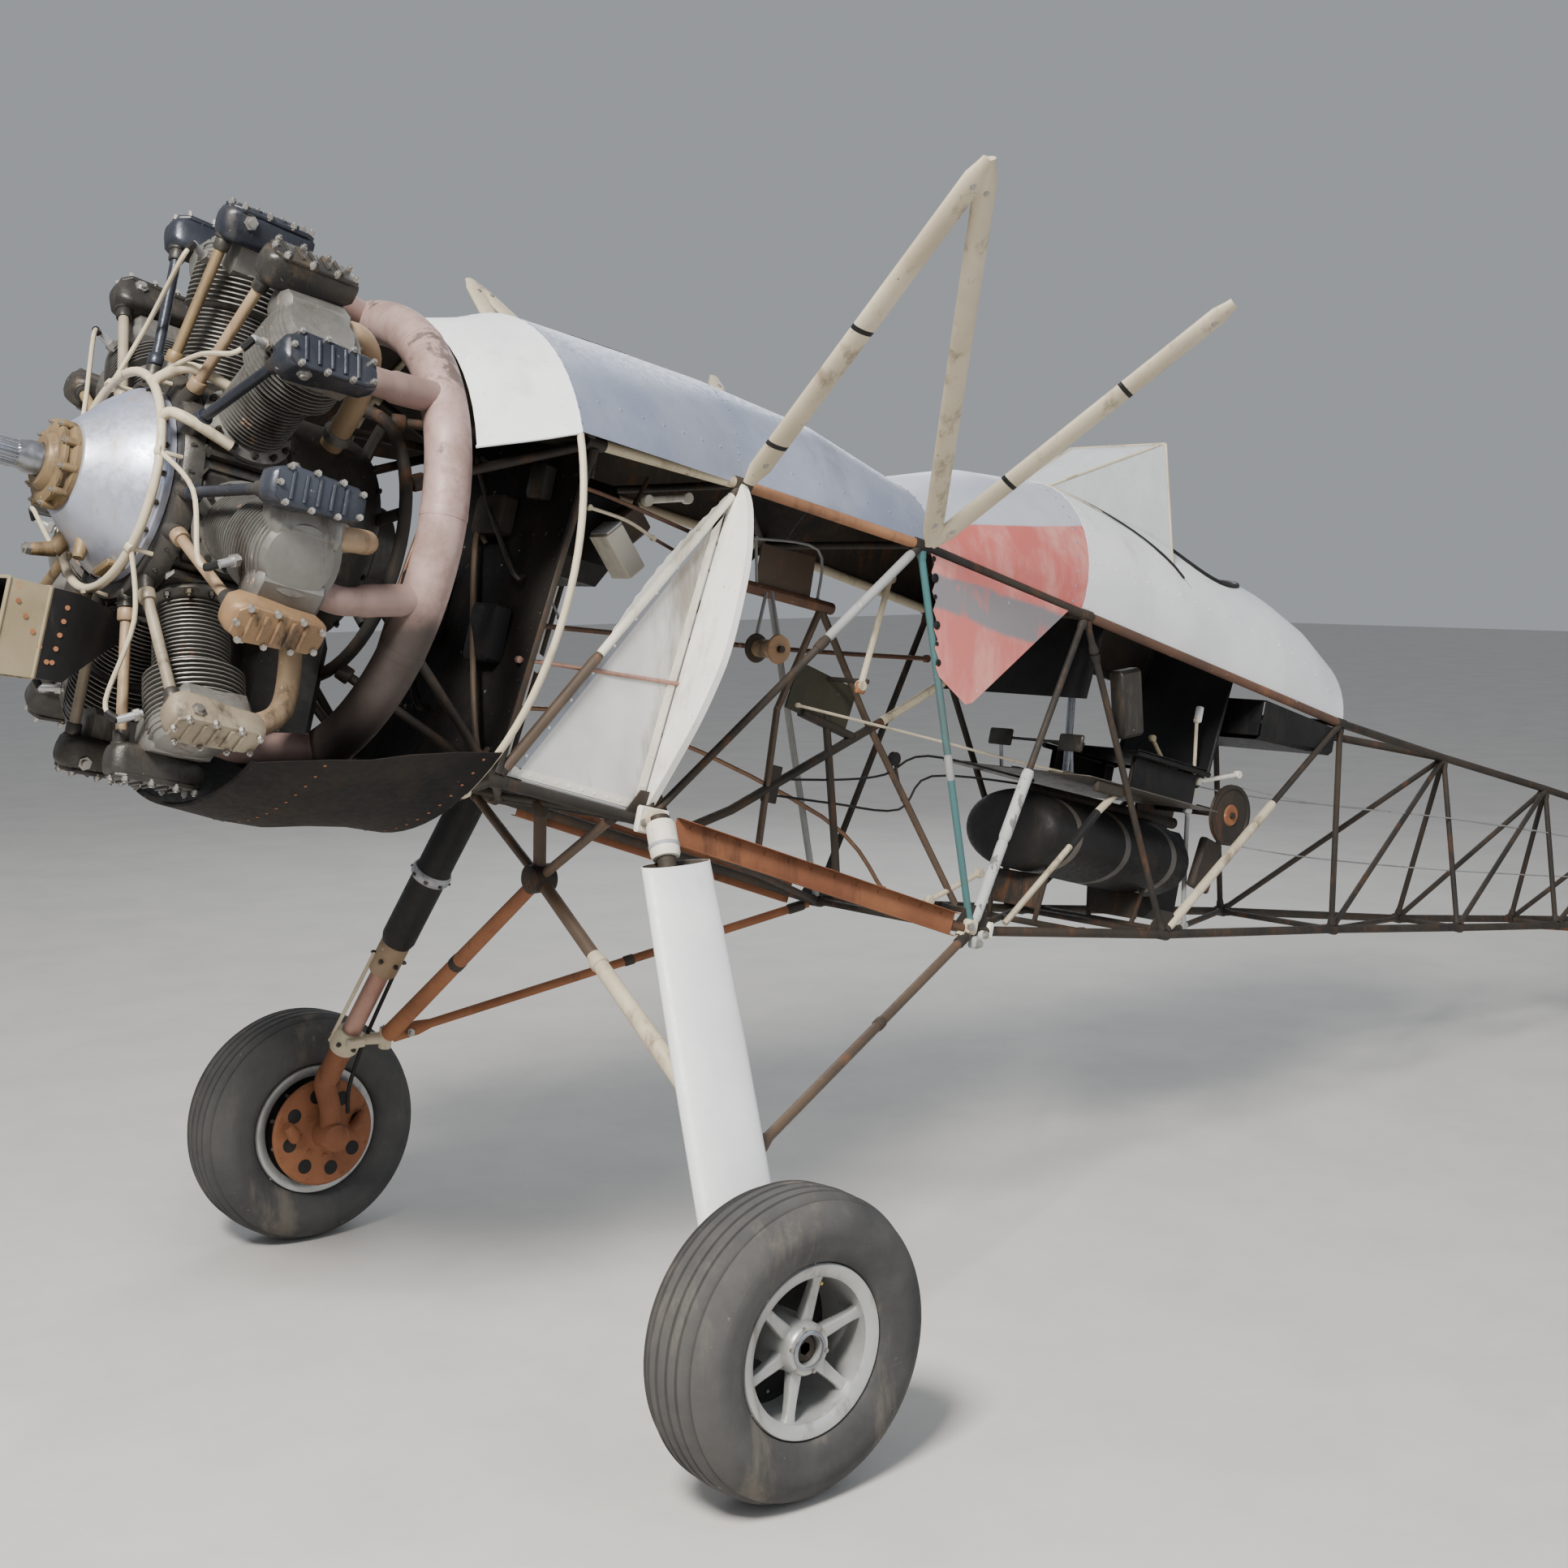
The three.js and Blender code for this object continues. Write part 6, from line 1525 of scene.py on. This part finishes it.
# Controls and lines inside the open frame: look, radius, then station, half and height of each point
insideLines = [
    ("rustTube", 0.0050, (-0.021, -0.27, 0.244), (0.094, -0.27, 0.242), (0.328, -0.27, 0.225),
     (0.454, -0.27, 0.216)),
    ("creamTube", 0.0042, (0.036, -0.27, 0.205), (0.144, -0.27, 0.203), (0.226, -0.27, 0.183)),
    ("rustTube", 0.0042, (0.226, -0.27, 0.183), (0.428, -0.27, 0.147)),
    ("pinkRust", 0.0048, (-0.088, -0.30, -0.173), (0.011, -0.306, -0.163), (0.368, -0.307, -0.132)),
    ("greyTube", 0.0030, (0.01, -0.15, 0.33), (-0.007, -0.15, 0.165), (0.015, -0.15, 0.056),
     (0.094, -0.15, -0.04)),
    ("creamPaint", 0.0085, (0.273, -0.15, 0.289), (0.387, -0.15, 0.326)),
    ("creamTube", 0.0085, (1.091, -0.15, 0.303), (1.06, -0.15, 0.006)),
    ("rustTube", 0.0165, (0.66, 0.0, 0.190), (1.04, 0.0, 0.204)),
    ("greyTube", 0.0040, (0.74, 0.0, 0.32), (0.954, 0.0, 0.345), (0.985, 0.0, 0.215)),
    ("greyTube", 0.0040, (0.773, 0.0, 0.20), (0.74, 0.0, 0.32)),
    ("brownFrame", 0.0100, (1.002, 0.0, 0.196), (0.92, 0.0, -0.095), (0.944, 0.0, -0.416),
     (0.952, 0.0, -0.52)),
    ("brownFrame", 0.0100, (1.002, 0.0, 0.196), (1.229, 0.0, -0.049), (1.57, 0.0, -0.368),
     (1.715, 0.0, -0.503)),
    ("darkFrame", 0.0110, (1.09, 0.0, -0.07), (1.211, 0.0, -0.407), (1.252, 0.0, -0.53)),
    ("darkFrame", 0.0125, (0.63, 0.0, -0.49), (0.831, 0.0, -0.381), (1.296, 0.0, -0.053)),
    ("creamTube", 0.0125, (1.296, 0.0, -0.053), (1.416, 0.0, 0.036), (1.50, 0.0, 0.10)),
    ("creamTube", 0.0038, (0.86, -0.15, -0.088), (1.049, -0.15, -0.085), (1.358, -0.15, -0.080),
     (1.706, -0.15, -0.076), (2.10, -0.13, -0.062)),
    ("blackForm", 0.0034, (0.93, 0.0, -0.28), (1.178, 0.0, -0.237), (1.346, 0.0, -0.192), (1.499, 0.0, -0.11),
     (1.94, 0.0, -0.10)),
    ("blackForm", 0.0034, (0.93, 0.0, -0.32), (1.171, 0.0, -0.303), (1.424, 0.0, -0.277),
     (1.527, 0.0, -0.163), (1.94, 0.0, -0.115)),
    ("creamTube", 0.0090, (1.626, -0.285, -0.533), (1.833, -0.285, -0.284)),
    ("blackForm", 0.0125, (1.833, -0.285, -0.284), (1.921, -0.285, -0.171)),
    ("creamTube", 0.0110, (1.921, -0.285, -0.171), (2.006, -0.27, -0.100)),
    ("oliveBox", 0.0065, (2.263, -0.15, 0.101), (2.465, -0.15, -0.065)),
    ("greyTube", 0.0075, (2.49, -0.15, -0.081), (2.543, -0.15, -0.325), (2.56, -0.16, -0.43)),
    ("creamTube", 0.0055, (2.455, -0.15, 0.195), (2.502, -0.15, -0.026)),
    ("creamPaint", 0.0075, (2.514, -0.15, 0.015), (2.704, -0.15, 0.071)),
    ("creamTube", 0.0085, (1.609, 0.0, -0.508), (1.79, 0.0, -0.402)),
    ("darkFrame", 0.0180, (1.93, 0.0, -0.125), (2.62, 0.0, -0.115)),
    ("rustTube", 0.0070, (0.30, 0.27, -0.02), (1.10, 0.27, 0.10), (1.68, 0.27, 0.20)),
    ("copperPipe", 0.0065, (0.05, 0.27, -0.30), (0.60, 0.27, -0.20), (1.40, 0.28, -0.33),
     (1.68, 0.27, -0.50)),
    ("greyTube", 0.0024, (2.70, -0.14, 0.035), (3.2, -0.13, 0.06), (4.2, -0.05, 0.17), (5.5, -0.02, 0.28)),
    ("greyTube", 0.0024, (2.70, -0.14, -0.150), (3.2, -0.12, -0.12), (4.2, -0.05, -0.02), (5.5, -0.02, 0.14)),
    ("greyTube", 0.0024, (2.70, 0.14, 0.035), (3.2, 0.13, 0.06), (4.2, 0.05, 0.17), (5.5, 0.02, 0.28)),
]
inside = Shape(None, name="inside_fittings")
for look, radius, *points in insideLines:
    path, slim = fusAll(*points), radius < 0.009
    inside.tube(curved(path, 5) if len(path) > 2 and slim else path, radius, look, 10)
    for end in (path[0], path[-1]) if slim else ():
        reach = Vector((0, 0.001, 0))
        inside.collar(end - reach, end + reach, 0.5, radius * 1.7, radius * 2.4, look, 10)


# A box at a station, half width and height, tipped nose down by so many degrees
def insideBox(spot, tip, size, look, chamfer):
    place = alongThrust @ Matrix.Translation(spot) @ Matrix.Rotation(radians(tip), 4, "Y")
    inside.block(place, (0, 0, 0), size, look, chamfer)
    return place


equipment = insideBox((0.217, -0.15, 0.15), 42, (0.124, 0.075, 0.056), "creamPaint", 0.004)
inside.block(equipment, (-0.063, 0, 0.004), (0.006, 0.07, 0.05), "whitePaint")
insideBox((0.255, -0.115, 0.225), 42, (0.075, 0.06, 0.080), "brownFrame", 0.006)
inside.bar(fus(0.255, -0.115, 0.25), fus(0.30, -0.10, 0.352), 0.006, "brownFrame", sides=8)
# The three large black boxes, at stations 0.20, 2.63 and 2.66, are dark fillers: painted shade in the front
# bay and behind the seat
for spot, tip, size, look in (((0.03, -0.16, 0.235), 20, (0.045, 0.035, 0.030), "rustPlate"),
                              ((0.062, -0.15, 0.212), -15, (0.05, 0.03, 0.024), "tanTube"),
                              ((0.0, -0.15, 0.268), 70, (0.036, 0.012, 0.012), "creamPaint"),
                              ((0.02, -0.15, 0.30), 60, (0.08, 0.010, 0.010), "greyTube"),
                              ((0.03, -0.17, -0.150), 20, (0.062, 0.004, 0.040), "whitePaint"),
                              ((0.0, -0.17, -0.192), 12, (0.07, 0.004, 0.022), "whitePaint"),
                              ((0.02, -0.17, -0.18), 100, (0.20, 0.014, 0.014), "darkFrame"),
                              ((0.862, 0.004, 0.262), -3, (0.19, 0.004, 0.115), "brownFrame"),
                              ((1.065, 0.0, -0.035), 8, (0.225, 0.006, 0.13), "darkOlive"),
                              ((1.10, 0.0, -0.10), 8, (0.20, 0.03, 0.020), "darkFrame"),
                              ((0.455, -0.27, 0.214), 0, (0.03, 0.012, 0.03), "blackForm"),
                              ((0.372, -0.307, -0.135), 0, (0.03, 0.02, 0.06), "rustPlate"),
                              ((2.46, -0.15, 0.215), 0, (0.02, 0.02, 0.05), "whitePaint"),
                              ((2.62, -0.12, -0.06), 0, (0.10, 0.02, 0.02), "darkFrame"),
                              ((0.20, 0.09, 0.20), 0, (0.23, 0.30, 0.25), "blackForm"),
                              ((2.66, 0.09, -0.28), 0, (0.17, 0.17, 0.29), "blackForm"),
                              ((1.96, 0.0, -0.42), 0, (0.012, 0.20, 0.10), "darkFrame"),
                              ((2.40, 0.0, -0.40), 0, (0.012, 0.20, 0.08), "darkFrame"),
                              ((2.06, -0.20, 0.17), -20, (0.10, 0.05, 0.20), "oilyCasting"),
                              ((2.58, -0.18, -0.235), 10, (0.09, 0.03, 0.16), "darkFrame"),
                              ((2.63, 0.05, 0.06), 0, (0.12, 0.20, 0.10), "blackForm"),
                              ((1.95, -0.285, -0.10), 0, (0.12, 0.02, 0.028), "darkFrame"),
                              ((0.95, 0.0, -0.29), 0, (0.05, 0.012, 0.10), "darkFrame"),
                              ((1.06, -0.15, 0.0), 0, (0.03, 0.014, 0.03), "rustPlate"),
                              ((1.075, -0.06, 0.02), 0, (0.012, 0.20, 0.012), "darkFrame")):
    insideBox(spot, tip, size, look, min(size) * 0.2)


# A wheel whose axle lies across the frame: rows of radius and distance from the middle
def insideDisc(spot, rows, look, segments=32):
    inside.lathe(rows, tipped(fus(*spot)) @ Matrix.Rotation(pi / 2, 4, "Z"), look, segments)


drum = (0.76, -0.105, 0.036)
insideDisc(drum, [(0, 0.038), (0.036, 0.038), (0.038, 0.042), (0.036, 0.046), (0, 0.046)], "darkFrame")
insideDisc(drum, [(0, -0.05), (0.036, -0.05), (0.038, -0.045), (0.036, -0.041), (0, -0.041)], "woodStrip")
insideDisc(drum, [(0, -0.04), (0.022, -0.04), (0.024, 0.0), (0.022, 0.037), (0, 0.037)], "tanTube", 24)
insideDisc(drum, [(0, -0.062), (0.009, -0.062), (0.009, 0.055), (0, 0.055)], "darkFrame", 16)
for y in (-0.160, -0.052):
    inside.bar(fus(0.76, y, 0.036), fus(0.80, y * 0.2, 0.192), 0.005, "greyTube", sides=8)
insideDisc((1.371, 0.0, -0.143), [(0, -0.006), (0.02, -0.006), (0.016, 0.0), (0.02, 0.006), (0, 0.006)],
           "blackForm", 24)
inside.bar(fus(1.371, 0, -0.143), fus(1.43, 0, -0.25), 0.004, "darkFrame", sides=8)
pulley = (2.701, -0.15, -0.06)
insideDisc(pulley, [(0, -0.007), (0.03, -0.008), (0.034, -0.004), (0.034, 0.004), (0.03, 0.008), (0, 0.007)],
           "rustPlate")
insideDisc(pulley,
           [(0.034, -0.003), (0.082, -0.003), (0.084, -0.007), (0.096, -0.007), (0.092, 0.0), (0.096, 0.007),
            (0.084, 0.007), (0.082, 0.003), (0.034, 0.003)], "darkFrame", 48)
inside.bar(fus(2.701, -0.165, -0.06), fus(2.701, 0.165, -0.06), 0.010, "darkFrame", sides=12)
insideDisc((2.701, 0.15, -0.06), [(0, -0.006), (0.094, -0.006), (0.090, 0.0), (0.094, 0.006), (0, 0.006)],
           "darkFrame", 48)

# Round dials without marks, a switch row and screws on the dark instrument panel
dials = Shape("instrument_panel", "dark", 40)
dialEdge = arch(1.7862, 0.3035, 0.345, 0.7246, 28)
dialEdge += [fus(1.7862, y, z)
             for y, z in ((0.2995, 0.290), (0.2855, 0.1305), (-0.2855, 0.1305), (-0.2995, 0.290))]
dials.rings([dialEdge, [point + rearward * 0.0016 for point in dialEdge]], "blackForm")
bezel = [(0.0465, 0.0), (0.0465, 0.006), (0.043, 0.0085), (0.040, 0.0085), (0.0385, 0.004)]
for y, z, grow in ((-0.19, 0.47, 0.8), (-0.065, 0.52, 1), (0.065, 0.52, 1), (0.19, 0.47, 0.8),
                   (-0.14, 0.34, 0.72), (0.0, 0.38, 1), (0.14, 0.34, 0.72)):
    face = tipped(fus(1.7878, y, z))
    dials.lathe([(radius * grow, along) for radius, along in bezel], face, "tankStrap", 36)
    dials.lathe([(0.0386 * grow, 0.004), (0, 0.0045)], face, "greyTube", 36)
    for turn in (0.785, 2.356, 3.927, 5.498):
        stud("darkNut", fus(1.788, y + 0.054 * grow * sin(turn), z + 0.054 * grow * cos(turn)), rearward,
             0.0032, 0.002)
for n in range(7):
    spot = fus(1.788, -0.15 + 0.05 * n, 0.215)
    dials.bar(spot, spot + rearward * 0.014, 0.005, "castAlloy", 0.0035, 10)

# Dark tray behind the seat, with a rolled edge and a row of rivets along each side
shelf = Shape("rear_shelf", "dark", 40)


def shelfRow(station, half, low, rim):
    edge = [(half, rim), (half, low + 0.012), (half - 0.012, low)]
    return [fus(station, y, z) for y, z in edge + [(0, low)] + [(-y, z) for y, z in edge[::-1]]]


shelfRows = filled([shelfRow(2.6205, 0.2678, 0.1765, 0.2995), shelfRow(3.0345, 0.2488, 0.2035, 0.2895)], 6)
shelf.sheet(shelfRows, -0.0014, "blackForm")
for side, edge in ((1, 0), (-1, -1)):
    shelf.tube([row[edge] - Vector((0, side * 0.003, 0.003)) for row in shelfRows], 0.0028, "blackForm", 8)
    for row in shelfRows:
        stud("darkNut", row[edge] - Vector((0, 0, 0.02)), Vector((0, side, 0)), 0.003, 0.0008)
for row, sign in ((shelfRows[0], 1), (shelfRows[-1], -1)):
    wall = [[between(a, b, t) + rearward * 0.001 * sign for t in (0.01, 0.25, 0.5, 0.75, 0.99)]
            for a, b in ((row[0], row[-1]), (row[1], row[-2]))]
    shelf.sheet(wall, -0.0012 * sign, "blackForm")
print("fittings")

# every piece into the scene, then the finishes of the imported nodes
for shape in Shape.made:
    shape.place()
for (kind, body), rows in hardware.items():
    placeHardware(kind, body, rows)
# The side panels' grimed grey includes painted shade
pairs = {"whitePaint": ("side_rib",), "dirtyPanel": ("side_panel",), "wheelCast": ("wheel",),
         "creamTube": ("cabane",), "tyreRubber": ("tyre",), "rustPlate": ("root_channel",),
         "darkFrame": ("front_frame", "drag_strut")}
# The lower cowl's near-black includes painted shade
slotLooks = {
    "darkFrame": ("front_top_tubes", "front_belly_tubes", "rear_truss", "engine_mount", "cockpit_floor",
                  "gear_centre", "firewall"),
    "creamTube": ("front_hoop", "harness_ring"), "sootyCowl": ("lower_cowl",), "noseSilver": ("nose_case",),
    "blackForm": ("seat", "belly_tank", "instrument_panel", "rear_shelf"), "oilyCasting": ("crankcase",),
    "bareSteel": ("propeller_shaft", "gear_leg_left", "tailwheel_fork"),
    "rustPlate": ("gear_leg_right", "tail_spring"),
    "whitePaint": ("front_panel", "cockpit_cowl", "leg_fairing_left"), "silverPaint": ("front_deck",),
    "midCowlPaint": ("mid_cowl",), "platePaint": ("side_plate_left",), "ringSoot": ("exhaust_ring",),
    "oliveBox": ("air_scoop",), "tyreRubber": ("tailwheel",), "hazyPane": ("windscreen",),
    "finMetal": tuple(f"cylinder_{k}" for k in range(1, 8)), }
for look in {**slotLooks, **pairs}:
    both = [f"{name}_{side}" for name in pairs.get(look, ()) for side in ("left", "right")]
    for node in (*slotLooks.get(look, ()), *both):
        cad[node].data.materials.clear()
        cad[node].data.materials.append(finishes[look])
print("finishes on the packed nodes")

# camera, light and floor
shot = {"lens": 47.04, "sensor": 36.0, "place": (-2.599, -4.118, 1.921), "yaw": 40.27, "pitch": 6.52,
        "roll": 0.13}
yaw, pitch, roll = (radians(shot[key]) for key in ("yaw", "pitch", "roll"))
ahead = Vector((sin(yaw) * cos(pitch), cos(yaw) * cos(pitch), -sin(pitch)))
right = Vector((cos(yaw), -sin(yaw), 0))
cameraTurn = Matrix((right, right.cross(ahead), -ahead)).transposed() @ Matrix.Rotation(-roll, 3, "Z")
camera = bpy.data.objects.new("camera", bpy.data.cameras.new("camera"))
collection.objects.link(camera)
camera.data.lens, camera.data.sensor_width, camera.data.clip_end = shot["lens"], shot["sensor"], 200
camera.matrix_world = Matrix.Translation(ground(*shot["place"])) @ cameraTurn.to_4x4()
bpy.context.scene.camera = camera

lampTarget = Vector((-1.2, 0, 1.0))
# Name, place, size, power and colour
for name, place, size, power, tone in (("key", (-6.5, -3.2, 6.6), 1.8, 1200, (1.0, 0.965, 0.91)),
                                       ("fill", (1.5, -7.5, 4.2), 6.0, 170, (0.86, 0.92, 1.0)),
                                       ("back", (3.5, 5.5, 5.0), 4.0, 150, (0.9, 0.95, 1.0))):
    light = bpy.data.lights.new(name, "AREA")
    light.shape, light.size, light.energy, light.color = "SQUARE", size, power, tone
    holder = bpy.data.objects.new(name, light)
    collection.objects.link(holder)
    toTarget = (lampTarget - Vector(place)).to_track_quat("-Z", "Y")
    holder.matrix_world = Matrix.Translation(place) @ toTarget.to_matrix().to_4x4()

world = bpy.data.worlds.new("studio")
bpy.context.scene.world = world
world.use_nodes = True
backdrop = world.node_tree.nodes["Background"].inputs
backdrop["Color"].default_value = (0.80, 0.84, 0.90, 1)
backdrop["Strength"].default_value = 0.42

floorMesh = bpy.data.meshes.new("floor")
reach = 40.0
floorMesh.from_pydata([(-reach, -reach, 0), (reach, -reach, 0), (reach, reach, 0), (-reach, reach, 0)], [],
                      [(0, 1, 2, 3)])
floor = bpy.data.objects.new("floor", floorMesh)
collection.objects.link(floor)
paleFloor = Finish("paleFloor")
floorTone = paleFloor.blend(paleFloor.band(paleFloor.noise(2.0, 6, 0.7), 0.35, 0.7), (0.62, 0.60, 0.57),
                            (0.56, 0.545, 0.52))
floorMesh.materials.append(paleFloor.dress(Base_Color=floorTone, Roughness=0.8))
